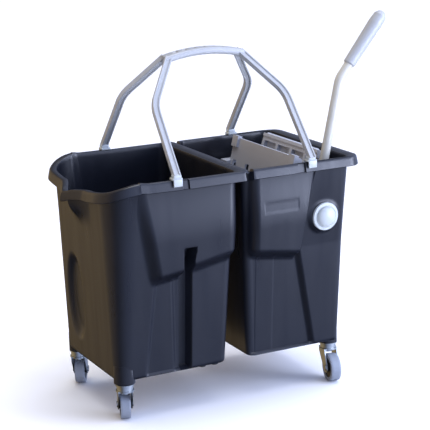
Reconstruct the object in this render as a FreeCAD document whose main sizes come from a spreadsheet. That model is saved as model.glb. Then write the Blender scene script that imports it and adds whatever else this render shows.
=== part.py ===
import FreeCAD, Part
import os
import Sketcher
from FreeCAD import Placement, Rotation, Vector

# Double cleaning bucket on casters with a lever press wringer.
# Frame: X runs along the two buckets (clear-water bucket at -X, wringer bucket at +X), Y from
# the front to the back, Z up from the floor. The origin is on the floor under the middle.

doc = FreeCAD.newDocument("double_bucket")
sheet = doc.addObject("Spreadsheet::Sheet", "Sizes")

SIZES = [
    # whole object
    ("shift_x", "-13.5", "the joint between the buckets lies this far from the middle of the object"),
    ("rim_height", "388", "top of the rims above the floor"),
    ("base_height", "71", "underside of the buckets above the floor"),
    ("wall", "3", "moulded wall"),
    ("lip_reach", "12", "how far the rim lip stands out from the wall"),
    ("lip_drop", "16", "depth of the turned-down skirt of the rim"),
    ("skirt_wall", "2.6", "skirt and lip thickness"),
    ("top_half", "129", "half depth of the bucket wall at the rim"),
    ("base_half", "108", "half depth of the bucket wall at the base"),
    ("swell", "7", "how far the upper panels stand out of the wall"),
    # clear-water bucket
    ("lb_top_out", "-226", "end wall at the rim"),
    ("lb_base_out", "-215", "end wall at the base"),
    ("lb_top_in", "-10", "wall beside the wringer bucket, at the rim"),
    ("lb_base_in", "-24", "the same wall at the base"),
    ("lb_radius_top", "46", "end corners at the rim"),
    ("lb_radius_base", "20", "end corners at the base"),
    ("inner_radius", "14", "corners beside the other bucket"),
    ("spout_tip", "-256", "front of the pouring spout"),
    ("spout_half", "46", "half width of the spout where it leaves the wall"),
    ("spout_nose", "9", "half width of the spout at its tip"),
    ("spout_rim", "367", "lip of the spout above the floor"),
    ("spout_foot", "340", "underside of the spout"),
    ("dip_half", "88", "half width of the dip in the end rim"),
    ("hook_end", "11", "far side of the hook over the other bucket's rim"),
    # wringer bucket
    ("rb_top_in", "3.5", "wall under the hook, at the rim"),
    ("rb_base_in", "17", "the same wall at the base"),
    ("rb_top_out", "196", "end wall at the rim"),
    ("rb_base_out", "187", "end wall at the base"),
    ("rb_radius_top", "20", "end corners at the rim"),
    ("rb_radius_base", "12", "end corners at the base"),
    ("rb_lip_out", "216", "outer edge of the wide lip at the end"),
    ("rb_rim_under", "4", "how much lower the hooked-over edge is"),
    # raised panels of the clear-water bucket
    ("lp_top_x", "-184", "upper panel, end edge at the top"),
    ("lp_low_x", "-158", "upper panel, end edge at the bottom"),
    ("lp_low_z", "236", "upper panel, bottom edge at the end side"),
    ("lp_side_z", "258", "upper panel, bottom edge at the divider side"),
    ("slot_left", "-106", "slot between the panels"),
    ("slot_right", "-89", "other side of that slot"),
    ("slot_top", "279", "top of that slot"),
    ("panel_top", "374", "top of the panels, behind the skirt"),
    ("foot_z", "78", "bottom of the lower panels"),
    ("lq_end_top", "-152", "lower end panel, outer edge at the top"),
    ("lq_end_foot", "-166", "lower end panel, outer edge at the bottom"),
    ("lq_in_top", "-118", "lower end panel, inner edge at the top"),
    ("lq_in_foot", "-122", "lower end panel, inner edge at the bottom"),
    ("lq_top", "222", "top of the lower end panel"),
    ("ls_top_z", "240", "top of the lower slot-side panel"),
    ("ls_side", "-34", "divider edge of the lower slot-side panel"),
    # raised panels of the wringer bucket
    ("rp_top_x", "126", "upper panel, end edge at the top"),
    ("rp_low_x", "100", "upper panel, end edge at the bottom"),
    ("rp_low_z", "248", "upper panel, bottom edge"),
    ("rp_in_top", "16", "upper panel, divider edge at the top"),
    ("rp_in_low", "24", "upper panel, divider edge at the bottom"),
    ("rq_end_top", "106", "lower panel, end edge at the top"),
    ("rq_end_foot", "140", "lower panel, end edge at the bottom"),
    ("rq_top", "230", "top of the lower panel"),
    ("rq_in", "32", "divider edge of the lower panel"),
    # press shaft and lever
    ("pivot_x", "147.5", "shaft axis"),
    ("pivot_z", "294", "shaft axis above the floor"),
    ("shaft_radius", "6", "steel shaft"),
    ("shaft_end", "128", "shaft end from the middle plane"),
    ("pad_radius", "25", "flat pad on the bucket wall around the shaft"),
    ("pad_face", "129", "face of that pad from the middle plane"),
    ("bush_radius", "9", "plastic bush in the wall"),
    ("bush_flange", "13", "bush flange inside the wall"),
    ("bush_inner", "115.5", "inner end of the bush from the middle plane"),
    ("bush_gap", "0.06", "running clearance on the shaft"),
    ("cap_radius", "23", "round cap over the shaft end"),
    ("cap_depth", "6", "base ring of the cap"),
    ("dome_radius", "16.5", "domed middle of the cap"),
    ("dome_rise", "8", "height of the dome over the ring"),
    ("lean", "13", "lever lean at rest, from upright"),
    ("lever_y", "-96", "plane of the lever"),
    ("tube_radius", "7.5", "lever tube"),
    ("tube_bore", "5.7", "inside of the lever tube"),
    ("tube_start", "14", "tube end above the shaft axis"),
    ("lower_length", "219.5", "straight lower part of the lever"),
    ("bend_angle", "26", "bend of the lever"),
    ("bend_radius", "30", "bend radius at the middle of the tube"),
    ("upper_length", "126", "lever above the bend point"),
    ("grip_start", "28", "grip start above the bend point"),
    ("grip_length", "103", "grip"),
    ("grip_low", "9.8", "grip radius at the lower end"),
    ("grip_high", "11.4", "grip radius near the tip"),
    ("socket_radius", "13", "hub of the lever socket on the shaft"),
    ("socket_half", "10", "half length of that hub"),
    ("sleeve_radius", "10.5", "sleeve round the lever foot"),
    ("sleeve_top", "58", "top of the sleeve above the shaft axis"),
    ("bolt_radius", "3", "cross bolt"),
    ("bolt_height", "44", "cross bolt above the shaft axis"),
    # moving jaw
    ("jaw_half", "96", "half width of the moving jaw"),
    ("jaw_lean", "7", "lean of the moving jaw beyond the lever's"),
    ("jaw_front", "-17", "pressing face from the shaft axis"),
    ("jaw_back", "-8.2", "back face from the shaft axis"),
    ("jaw_top", "98", "top above the shaft axis"),
    ("jaw_low", "-9", "bottom below the shaft axis"),
    ("jaw_pocket", "5.5", "depth of the pockets in the pressing face"),
    ("pocket_side", "38", "pocket width"),
    ("pocket_step", "46", "pocket spacing"),
    ("knuckle_radius", "12", "knuckles round the shaft"),
    ("knuckle_half", "11", "half length of a knuckle"),
    ("knuckle_y", "60", "knuckles from the middle plane"),
    # fixed jaw
    ("plate_x", "114", "top edge of the fixed jaw"),
    ("plate_z", "389", "top of the fixed jaw above the floor"),
    ("plate_lean", "15", "lean of the fixed jaw"),
    ("plate_half", "104", "half width of the fixed jaw"),
    ("plate_thick", "3", "its plate"),
    ("plate_drop", "141", "height of its plate"),
    ("roll_radius", "6", "rolled top edge of the fixed jaw"),
    ("hole_side", "12", "square drain hole"),
    ("hole_step", "44", "drain hole spacing"),
    ("tray_end", "160", "far edge of the tray under the shaft"),
    ("tray_z", "256", "tray under the shaft, above the floor"),
    ("tab_width", "18", "raised tabs at the ends of the fixed jaw"),
    ("tab_rise", "3", "how far those tabs stand up"),
    ("ledge_z", "345", "wall ledges that carry the fixed jaw"),
    ("ledge_x", "89", "near edge of a ledge"),
    ("ledge_long", "26", "ledge length"),
    ("ledge_thick", "7", "ledge thickness"),
    ("ledge_in", "113", "inner side of a ledge from the middle plane"),
    ("tongue_out", "121", "outer end of the jaw tongues from the middle plane"),
    ("tongue_thick", "5", "tongue thickness"),
    # return spring
    ("spring_radius", "7.3", "middle of the spring wire from the axis"),
    ("wire_radius", "0.7", "spring wire"),
    ("spring_pitch", "1.9", "one turn along the shaft"),
    ("spring_length", "22", "wound length"),
    ("spring_y", "76", "start of the winding from the middle plane"),
    # carry handle
    ("foot_x", "119", "handle feet either side of the middle"),
    ("foot_y", "139", "handle feet in front of and behind the middle plane"),
    ("foot_up", "394", "where the legs leave the feet, above the floor"),
    ("elbow_x", "116", "elbows of the legs"),
    ("elbow_y", "60", "elbows from the middle plane"),
    ("elbow_z", "491", "elbows above the floor"),
    ("elbow_round", "16", "how far from an elbow its curve starts"),
    ("join_x", "66", "legs meet the grip"),
    ("join_y", "7", "legs from the middle plane where they meet the grip"),
    ("join_z", "552", "same, above the floor"),
    ("leg_wide", "11", "leg section along the bucket"),
    ("leg_thick", "9", "leg section across"),
    ("handle_half", "70", "half length of the hand grip"),
    ("handle_end_z", "551", "middle of the grip at its ends"),
    ("handle_mid_z", "560", "middle of the grip at its crown"),
    ("handle_wide", "25", "hand grip width"),
    ("handle_thick", "12", "hand grip thickness"),
    ("clip_half", "6.5", "half width of a rim clip"),
    ("clip_wall", "2.8", "clip wall"),
    ("clip_gap", "0.3", "clip clearance over the rim"),
    # casters
    ("stem_left", "-199", "swivel axes of the clear-water bucket"),
    ("stem_right", "178", "swivel axes of the wringer bucket"),
    ("stem_y_left", "94", "swivel axes of the clear-water bucket from the middle plane"),
    ("stem_y_right", "87", "the same, wringer bucket"),
    ("stem_radius", "5", "caster stem"),
    ("stem_top", "92", "stem end above the floor"),
    ("boss_radius", "17", "caster bosses under the buckets"),
    ("boss_proud", "1.5", "how far a boss may stand out from the wall at the base"),
    ("boss_foot", "64", "underside of the bosses"),
    ("boss_top", "95", "inside top of the bosses"),
    ("flange_radius", "15", "caster mounting flange"),
    ("flange_thick", "2", "flange thickness"),
    ("race_radius", "13", "ball race under the flange"),
    ("crown_top", "54", "top of the fork crown"),
    ("crown_thick", "2.5", "fork sheet"),
    ("crown_radius", "14.5", "fork crown"),
    ("race_gap", "0.3", "clearance between race and fork"),
    ("rivet_radius", "7.5", "rivet head under the crown"),
    ("trail", "17", "wheel axle behind the swivel axis"),
    ("wheel_radius", "23.5", "wheel"),
    ("wheel_half", "8", "half width of the tyre"),
    ("cheek_gap", "9.6", "inside of a fork cheek from the middle"),
    ("cheek_thick", "2", "fork cheek"),
    ("axle_radius", "3", "axle"),
    ("axle_head", "5", "axle heads"),
    ("hub_radius", "17", "hub under the tyre"),
    ("hub_half", "6.6", "half width of the hub rim"),
    ("boss_half", "9", "half length of the hub boss"),
    ("hub_gap", "0.05", "running clearance on the axle"),
    ("yaw_fl", "70", "way the front left wheel trails at rest, from +X"),
    ("yaw_bl", "60", "the same, back left"),
    ("yaw_fr", "-100", "the same, front right"),
    ("yaw_br", "75", "the same, back right"),
]
sheet.set("A1", "name")
sheet.set("B1", "value")
sheet.set("C1", "meaning")
for row, (alias, value, meaning) in enumerate(SIZES, start=2):
    sheet.set(f"A{row}", alias)
    sheet.set(f"B{row}", value)
    sheet.set(f"C{row}", meaning)
    sheet.setAlias(f"B{row}", alias)
doc.recompute()


def size(alias):
    """The number in one cell of the sheet."""
    return float(sheet.get(alias))


def bind(item, name, expression):
    """Ties a property to the sheet; aliases are written as S.name."""
    item.setExpression(name, expression.replace("S.", "Sizes."))
    return item


def place(item, x="0", y="0", z="0"):
    """Ties the position of an object to the sheet."""
    for axis, expression in (("x", x), ("y", y), ("z", z)):
        bind(item, f"Placement.Base.{axis}", expression)
    return item


def turned(item, axis, angle, x="0", y="0", z="0"):
    """Ties a position and a turn about one axis to the sheet."""
    item.Placement = Placement(Vector(), Rotation(axis, 30))
    bind(item, "Placement.Rotation.Angle", f"({angle}) * 1deg")
    return place(item, x, y, z)


def rounded(name, low, high, half, outer, inner, height, grow="0", outer_first=True):
    """Sketch of a rounded rectangle: ends at low and high, outer and inner corner radii."""
    sketch = doc.addObject("Sketcher::SketchObject", name)
    place(sketch, z=height)
    x0, x1, y1 = -100.0, 100.0, 80.0
    r = 20.0
    ends = ((x0 + r, -y1, x1 - r, -y1), (x1, -y1 + r, x1, y1 - r),
            (x1 - r, y1, x0 + r, y1), (x0, y1 - r, x0, -y1 + r))
    for ax, ay, bx, by in ends:
        sketch.addGeometry(Part.LineSegment(Vector(ax, ay), Vector(bx, by)))
    middles = ((x1 - r, -y1 + r, 270), (x1 - r, y1 - r, 0), (x0 + r, y1 - r, 90), (x0 + r, -y1 + r, 180))
    for mx, my, start in middles:
        circle = Part.Circle(Vector(mx, my), Vector(0, 0, 1), r)
        turn = 3.14159265 / 180
        sketch.addGeometry(Part.ArcOfCircle(circle, start * turn, (start + 90) * turn))
    for line in range(4):
        sketch.addConstraint(Sketcher.Constraint("Tangent", line, 2, 4 + line, 1))
        sketch.addConstraint(Sketcher.Constraint("Tangent", 4 + line, 2, (line + 1) % 4, 1))
    for line, kind in enumerate(("Horizontal", "Vertical", "Horizontal", "Vertical")):
        sketch.addConstraint(Sketcher.Constraint(kind, line))
    left, right = (outer, inner) if outer_first else (inner, outer)
    for arc, radius in ((4, right), (5, right), (6, left), (7, left)):
        index = sketch.addConstraint(Sketcher.Constraint("Radius", arc, r))
        bind(sketch, f"Constraints[{index}]", f"{radius} + ({grow})")
    limits = (("DistanceY", 0, f"-({half}) - ({grow})"), ("DistanceX", 1, f"{high} + ({grow})"),
              ("DistanceY", 2, f"{half} + ({grow})"), ("DistanceX", 3, f"{low} - ({grow})"))
    guesses = (-y1, x1, y1, x0)
    for (kind, line, expression), guess in zip(limits, guesses):
        index = sketch.addConstraint(Sketcher.Constraint(kind, -1, 1, line, 1, guess))
        bind(sketch, f"Constraints[{index}]", expression)
    return sketch


def outline(name, corners, plane="XY", height="0"):
    """Sketch of a straight-sided outline; each corner is a pair of expressions."""
    sketch = doc.addObject("Sketcher::SketchObject", name)
    if plane == "XZ":
        sketch.Placement = Placement(Vector(), Rotation(Vector(1, 0, 0), 90))
    if plane == "YZ":
        sketch.Placement = Placement(Vector(), Rotation(Vector(1, 1, 1), 120))
    if plane == "XY":
        place(sketch, z=height)
    count = len(corners)
    points = [Vector(corner[2], corner[3]) for corner in corners]
    for index in range(count):
        sketch.addGeometry(Part.LineSegment(points[index], points[(index + 1) % count]))
    for index in range(count):
        sketch.addConstraint(Sketcher.Constraint("Coincident", index, 2, (index + 1) % count, 1))
    for index, corner in enumerate(corners):
        for kind, expression, guess in (("DistanceX", corner[0], corner[2]),
                                        ("DistanceY", corner[1], corner[3])):
            tie = sketch.addConstraint(Sketcher.Constraint(kind, -1, 1, index, 1, guess))
            bind(sketch, f"Constraints[{tie}]", expression)
    return sketch


def reckon(expression):
    """The value of a sum of cells and numbers such as 'S.wall + 2'; used for first guesses."""
    total = 0.0
    sign = 1.0
    for word in expression.split():
        if word in "+-":
            sign = 1.0 if word == "+" else -1.0
            continue
        flip = -1.0 if word.startswith("-S.") else 1.0
        bare = word.lstrip("-") if flip < 0 else word
        total += sign * flip * (size(bare[2:]) if bare.startswith("S.") else float(bare))
        sign = 1.0
    return total


def corner(x, y):
    """One outline corner with its first guess."""
    return (x, y, reckon(x), reckon(y))


def extrude(name, sketch, forward, backward="0"):
    """Solid prism of a sketch along its normal."""
    item = doc.addObject("Part::Extrusion", name)
    item.Base = sketch
    item.DirMode = "Normal"
    item.Solid = True
    bind(item, "LengthFwd", forward)
    bind(item, "LengthRev", backward)
    return item


def loft(name, sections):
    item = doc.addObject("Part::Loft", name)
    item.Sections = sections
    item.Solid = True
    item.Ruled = True
    return item


def box(name, x0, x1, y0, y1, z0, z1):
    """Block between six limits."""
    item = doc.addObject("Part::Box", name)
    bind(item, "Length", f"({x1}) - ({x0})")
    bind(item, "Width", f"({y1}) - ({y0})")
    bind(item, "Height", f"({z1}) - ({z0})")
    return place(item, x0, y0, z0)


def rod(name, radius, x, y, z, length):
    """Upright cylinder from z."""
    item = doc.addObject("Part::Cylinder", name)
    bind(item, "Radius", radius)
    bind(item, "Height", length)
    return place(item, x, y, z)


def cross_rod(name, radius, x, z, y0, y1):
    """Cylinder lying along Y from y0 to y1."""
    item = doc.addObject("Part::Cylinder", name)
    item.Placement = Placement(Vector(), Rotation(Vector(1, 0, 0), -90))
    bind(item, "Radius", radius)
    bind(item, "Height", f"({y1}) - ({y0})")
    return place(item, x, y0, z)


def fuse(name, *items):
    item = doc.addObject("Part::MultiFuse", name)
    item.Shapes = list(items)
    item.Refine = True
    return item


def cut(name, base, *tools):
    item = doc.addObject("Part::Cut", name)
    item.Base = base
    item.Tool = tools[0] if len(tools) == 1 else fuse(f"{name}_tools", *tools)
    item.Refine = True
    return item


def common(name, one, other):
    item = doc.addObject("Part::MultiCommon", name)
    item.Shapes = [one, other]
    return item


def spin(name, sketch, base, axis):
    """Full turn of a profile about an axis."""
    item = doc.addObject("Part::Revolution", name)
    item.Source = sketch
    item.Base = base
    item.Axis = axis
    item.Angle = 360
    item.Solid = True
    return item


parts = {}


def finish(name, item, fixed=True):
    """Labels a finished piece and, for pieces built in place, ties its position to the frame."""
    item.Label = name
    parts[name] = item
    if fixed:
        place(item, "S.shift_x")
    return item


# ---------------------------------------------------------------- bucket shells
def shell(tag, base, top, radii, outer_first, panels):
    """Tapered wall with raised panels front and back, and the matching cavity."""
    radius_base, radius_top = radii
    solids = {}
    for layer, grow, floor in (("out", "0", "S.base_height"), ("in", "-S.wall", "S.base_height + S.wall")):
        lower = rounded(f"{tag}_base_{layer}", base[0], base[1], "S.base_half", radius_base,
                        "S.inner_radius", floor, grow, outer_first)
        upper = rounded(f"{tag}_top_{layer}", top[0], top[1], "S.top_half", radius_top,
                        "S.inner_radius", "S.rim_height", grow, outer_first)
        wide_low = rounded(f"{tag}_wide_base_{layer}", base[0], base[1], "S.base_half + S.swell",
                           radius_base, "S.inner_radius", floor, grow, outer_first)
        wide_top = rounded(f"{tag}_wide_top_{layer}", top[0], top[1], "S.top_half + S.swell - 4",
                           radius_top, "S.inner_radius", "S.rim_height", grow, outer_first)
        wall = loft(f"{tag}_wall_{layer}", [lower, upper])
        wide = loft(f"{tag}_wide_{layer}", [wide_low, wide_top])
        raised = []
        for index, make in enumerate(panels):
            prism = extrude(f"{tag}_prism_{layer}_{index}", make(f"{tag}_panel_{layer}_{index}", layer),
                            "200", "200")
            raised.append(prism)
        block = fuse(f"{tag}_prisms_{layer}", *raised)
        solids[layer] = fuse(f"{tag}_solid_{layer}", wall, common(f"{tag}_raised_{layer}", wide, block))
    return solids["out"], solids["in"]


def inset(layer, sign):
    """Panel outlines of the cavity lie one wall inside those of the shell."""
    if layer == "out":
        return ""
    return " + S.wall" if sign > 0 else " - S.wall"


def left_upper(name, layer):
    a, b = inset(layer, 1), inset(layer, -1)
    return outline(name, [
        corner("S.lp_top_x" + a, "S.panel_top" + b), corner("S.lp_low_x" + a, "S.lp_low_z" + a),
        corner("S.slot_left" + b, "S.lp_low_z" + a), corner("S.slot_left" + b, "S.slot_top" + a),
        corner("S.slot_right" + a, "S.slot_top" + a), corner("S.slot_right" + a, "S.lp_side_z" + a),
        corner("S.lb_top_in - 16" + b, "S.lp_side_z" + a), corner("S.lb_top_in - 12" + b,
                                                                  "S.panel_top" + b),
    ], "XZ")


def left_end(name, layer):
    a, b = inset(layer, 1), inset(layer, -1)
    return outline(name, [
        corner("S.lq_end_top" + a, "S.lq_top" + b), corner("S.lq_end_foot" + a, "S.foot_z" + a),
        corner("S.lq_in_foot" + b, "S.foot_z" + a), corner("S.lq_in_top" + b, "S.lq_top" + b),
    ], "XZ")


def left_side(name, layer):
    a, b = inset(layer, 1), inset(layer, -1)
    return outline(name, [
        corner("S.slot_right" + a, "S.ls_top_z" + b), corner("S.slot_right" + a, "S.foot_z" + a),
        corner("S.ls_side - 6" + b, "S.foot_z" + a), corner("S.ls_side" + b, "S.ls_top_z" + b),
    ], "XZ")


def right_upper(name, layer):
    a, b = inset(layer, 1), inset(layer, -1)
    return outline(name, [
        corner("S.rp_in_top" + a, "S.panel_top" + b), corner("S.rp_in_low" + a, "S.rp_low_z" + a),
        corner("S.rp_low_x" + b, "S.rp_low_z" + a), corner("S.rp_top_x" + b, "S.panel_top" + b),
    ], "XZ")


def right_lower(name, layer):
    a, b = inset(layer, 1), inset(layer, -1)
    return outline(name, [
        corner("S.rq_in" + a, "S.rq_top" + b), corner("S.rq_in" + a, "S.foot_z" + a),
        corner("S.rq_end_foot" + b, "S.foot_z" + a), corner("S.rq_end_top" + b, "S.rq_top" + b),
    ], "XZ")


def rim(tag, low, high, half, radius, outer_first):
    """Lip with a turned-down skirt, as a capped ring still filled inside the wall."""
    full = extrude(f"{tag}_rim_block", rounded(
        f"{tag}_rim_line", low, high, half, f"{radius} + S.lip_reach", "S.inner_radius",
        "S.rim_height - S.lip_drop", "0", outer_first), "S.lip_drop")
    under = extrude(f"{tag}_rim_under", rounded(
        f"{tag}_under_line", low, high, half, f"{radius} + S.lip_reach", "S.inner_radius",
        "S.rim_height - S.lip_drop", "-S.skirt_wall", outer_first), "S.lip_drop - S.skirt_wall")
    return cut(f"{tag}_rim", full, under)


def bosses(tag, stem, stem_y, low, high, radius, outer_first):
    """Caster bosses kept within the corners of the base, and their stem bores."""
    limit = extrude(f"{tag}_boss_limit", rounded(
        f"{tag}_boss_line", low, high, "S.base_half", radius, "S.inner_radius",
        "S.boss_foot", "S.boss_proud", outer_first), "S.boss_top - S.boss_foot")
    outer = []
    bores = []
    for side, y in (("front", f"-{stem_y}"), ("back", stem_y)):
        pillar = rod(f"{tag}_pillar_{side}", "S.boss_radius", stem, y, "S.boss_foot",
                     "S.boss_top - S.boss_foot")
        outer.append(common(f"{tag}_boss_{side}", pillar, limit))
        bores.append(rod(f"{tag}_bore_{side}", "S.stem_radius", stem, y, "S.boss_foot - 1",
                         "S.stem_top - S.boss_foot + 1"))
    return outer, bores


# clear-water bucket: lip all round, hook over the neighbour, pouring spout in the end rim
left_out, left_in = shell("lb", ("S.lb_base_out", "S.lb_base_in"), ("S.lb_top_out", "S.lb_top_in"),
                          ("S.lb_radius_base", "S.lb_radius_top"), True, [left_upper, left_end, left_side])
left_rim = rim("lb", "S.lb_top_out - S.lip_reach", "S.hook_end", "S.top_half + S.lip_reach",
               "S.lb_radius_top", True)
spout_out = extrude("spout_out", outline("spout_line", [
    corner("S.lb_top_out + 14", "-S.spout_half"), corner("S.spout_tip", "-S.spout_nose"),
    corner("S.spout_tip", "S.spout_nose"), corner("S.lb_top_out + 14", "S.spout_half"),
], "XY", "S.spout_foot"), "S.spout_rim - S.spout_foot")
spout_in = extrude("spout_in", outline("spout_inner_line", [
    corner("S.lb_top_out + 15", "-S.spout_half + 5"), corner("S.spout_tip + S.wall", "-S.spout_nose + 1"),
    corner("S.spout_tip + S.wall", "S.spout_nose - 1"), corner("S.lb_top_out + 15", "S.spout_half - 5"),
], "XY", "S.spout_foot + S.wall"), "S.rim_height - S.spout_foot")
dip = extrude("dip", outline("dip_line", [
    corner("-S.dip_half", "S.rim_height + 1"), corner("-S.spout_half", "S.spout_rim + 5"),
    corner("-S.spout_nose", "S.spout_rim"), corner("S.spout_nose", "S.spout_rim"),
    corner("S.spout_half", "S.spout_rim + 5"), corner("S.dip_half", "S.rim_height + 1"),
], "YZ"), "0", "280")
dip_region = box("dip_region", "-280", "S.lb_top_out + S.lb_radius_top - 20", "-100", "100", "300", "420")
left_bosses, left_bores = bosses("lb", "S.stem_left", "S.stem_y_left", "S.lb_base_out", "S.lb_base_in",
                                 "S.lb_radius_base", True)
boss_cavity = fuse("lb_bosses_in", *left_bosses)
left_hollow = cut("lb_hollow", left_in, boss_cavity)
feet = [box(f"lb_foot_{i}", f"-70 + {22 * i}", f"-56 + {22 * i}", "-S.base_half + 6", "-S.base_half + 30",
            "S.base_height - 4", "S.base_height + 2") for i in range(2)]
hook_ends = [box(f"hook_end_{side}", "S.lb_top_in + 12", "S.hook_end + 1", y0, y1,
                 "S.rim_height - S.lip_drop - 1",
                 "S.rim_height - S.skirt_wall") for side, y0, y1 in (
    ("front", "-S.top_half - 20", "-S.top_half + 18"), ("back", "S.top_half - 18", "S.top_half + 20"))]
left_body = fuse("lb_body", left_out, cut("lb_rim_open", left_rim, *hook_ends), spout_out, *left_bosses,
                 *feet)
left_bucket = cut("left_bucket", left_body, left_hollow, spout_in, common("lb_dip", dip, dip_region),
                  *left_bores)
finish("left_bucket", left_bucket)

# wringer bucket: plain edge under the hook, wall pads and ledges for the wringer
right_out, right_in = shell("rb", ("S.rb_base_in", "S.rb_base_out"), ("S.rb_top_in", "S.rb_top_out"),
                            ("S.rb_radius_base", "S.rb_radius_top"), False, [right_upper, right_lower])
right_rim = rim("rb", "S.hook_end + 3", "S.rb_lip_out", "S.top_half + S.lip_reach - 2",
                "S.rb_radius_top", False)
right_bosses, right_bores = bosses("rb", "S.stem_right", "S.stem_y_right", "S.rb_base_in", "S.rb_base_out",
                                   "S.rb_radius_base", False)
pads = [cross_rod(f"pad_{s}", "S.pad_radius", "S.pivot_x", "S.pivot_z", y0, y1)
        for s, y0, y1 in (("front", "-S.pad_face", "-S.pad_face + 13"),
                          ("back", "S.pad_face - 13", "S.pad_face"))]
pad_holes = [cross_rod(f"pad_hole_{s}", "S.bush_radius", "S.pivot_x", "S.pivot_z", y0, y1)
             for s, y0, y1 in (("front", "-S.pad_face - 1", "-S.pad_face + 14"),
                               ("back", "S.pad_face - 14", "S.pad_face + 1"))]
ledges = []
for side, y0, y1 in (("front", "-S.top_half + 2.5", "-S.ledge_in"),
                     ("back", "S.ledge_in", "S.top_half - 2.5")):
    ledges.append(box(f"ledge_{side}", "S.ledge_x", "S.ledge_x + S.ledge_long", y0, y1,
                      "S.ledge_z - S.ledge_thick", "S.ledge_z"))
right_hollow = cut("rb_hollow", right_in, *right_bosses, *pads, *ledges)
under_hook = box("under_hook", "S.rb_top_in - 20", "S.hook_end + 3", "-150", "150",
                 "S.rim_height - S.rb_rim_under", "S.rim_height + 5")
right_body = fuse("rb_body", right_out, right_rim, *right_bosses, *pads)
right_bucket = cut("right_bucket", right_body, right_hollow, under_hook, *pad_holes, *right_bores)
finish("right_bucket", right_bucket)

# ---------------------------------------------------------------- wringer
# shaft, bushes and caps
shaft = cross_rod("press_shaft", "S.shaft_radius", "S.pivot_x", "S.pivot_z", "-S.shaft_end", "S.shaft_end")
finish("press_shaft", place(shaft, "S.pivot_x + S.shift_x", "-S.shaft_end", "S.pivot_z"), False)
for side, sign in (("front", -1), ("back", 1)):
    def span(inner, outer, sign=sign):
        """Limits along Y of something reaching outwards on one side."""
        return (f"-({outer})", f"-({inner})") if sign < 0 else (inner, outer)

    barrel = cross_rod(f"bush_{side}_barrel", "S.bush_radius", "S.pivot_x", "S.pivot_z",
                       *span("S.bush_inner - 0.5", "S.pad_face"))
    flange = cross_rod(f"bush_{side}_flange", "S.bush_flange", "S.pivot_x", "S.pivot_z",
                       *span("S.bush_inner - 2.5", "S.bush_inner - 0.5"))
    bore = cross_rod(f"bush_{side}_bore", "S.shaft_radius + S.bush_gap", "S.pivot_x", "S.pivot_z",
                     *span("S.bush_inner - 4", "S.pad_face + 1"))
    finish(f"shaft_bush_{side}", cut(f"shaft_bush_{side}", fuse(f"bush_{side}_body", barrel, flange), bore))
    base = cross_rod(f"cap_{side}_base", "S.cap_radius", "S.pivot_x", "S.pivot_z",
                     *span("S.pad_face", "S.pad_face + S.cap_depth"))
    dome = doc.addObject("Part::Cone", f"cap_{side}_dome")
    dome.Placement = Placement(Vector(), Rotation(Vector(1, 0, 0), 90 * -sign))
    bind(dome, "Radius1", "S.dome_radius")
    bind(dome, "Radius2", "S.dome_radius - 7")
    bind(dome, "Height", "S.dome_rise")
    edge = "S.pad_face + S.cap_depth"
    place(dome, "S.pivot_x", f"-({edge})" if sign < 0 else edge, "S.pivot_z")
    finish(f"shaft_cap_{side}", fuse(f"shaft_cap_{side}", base, dome))

# moving jaw, built upright round the shaft axis and leaned with the lever
slab = box("jaw_slab", "S.jaw_front", "S.jaw_back", "-S.jaw_half - 4", "S.jaw_half", "S.jaw_low",
           "S.jaw_top")
strip = box("jaw_strip", "S.jaw_front - 1.5", "S.jaw_back + 6", "-S.jaw_half + 14", "S.jaw_half",
            "S.jaw_top - 5", "S.jaw_top")
knuckles = [cross_rod(f"knuckle_{i}", "S.knuckle_radius", "0", "0", f"{y} - S.knuckle_half",
                      f"{y} + S.knuckle_half")
            for i, y in enumerate(("-S.knuckle_y", "S.knuckle_y"))]
webs = [box(f"knuckle_web_{i}", "S.jaw_front", "0", f"{y} - S.knuckle_half", f"{y} + S.knuckle_half",
            "-S.knuckle_radius", "S.knuckle_radius + 8") for i,
            y in enumerate(("-S.knuckle_y", "S.knuckle_y"))]
pockets = [box(f"jaw_pocket_{i}", "S.jaw_front - 3", "S.jaw_front + S.jaw_pocket",
               f"-2 * S.pocket_step + {i} * S.pocket_step + 4",
               f"-2 * S.pocket_step + {i} * S.pocket_step + 4 + S.pocket_side",
               f"{low}", f"{high}")
           for i in range(4) for low, high in (("S.jaw_top - 40", "S.jaw_top - 12"),)]
lower_pockets = [box(f"jaw_lower_pocket_{i}", "S.jaw_front - 3", "S.jaw_front + S.jaw_pocket",
                     f"-2 * S.pocket_step + {i} * S.pocket_step + 4",
                     f"-2 * S.pocket_step + {i} * S.pocket_step + 4 + S.pocket_side",
                     "S.jaw_top - 80", "S.jaw_top - 46") for i in range(4)]
jaw_bore = cross_rod("jaw_bore", "S.shaft_radius", "0", "0", "-S.jaw_half - 5", "S.jaw_half + 1")
jaw_upper = turned(fuse("jaw_upper", slab, strip), Vector(0, 1, 0), "S.jaw_lean", "0", "0", "0")
notch = box("jaw_notch", "-30", "30", "-S.jaw_half - 10", "S.lever_y + S.socket_half + 4", "-20",
            "S.jaw_top + 9")
jaw_panel = cut("jaw_panel", jaw_upper, notch)
jaw_pockets = turned(fuse("jaw_pockets", *pockets, *lower_pockets), Vector(0, 1, 0), "S.jaw_lean", "0",
                     "0", "0")
jaw = cut("press_jaw", fuse("jaw_body", jaw_panel, *knuckles, *webs), jaw_bore, jaw_pockets)
finish("press_jaw", jaw, False)
turned(jaw, Vector(0, 1, 0), "S.lean", "S.pivot_x + S.shift_x", "0", "S.pivot_z")

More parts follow.
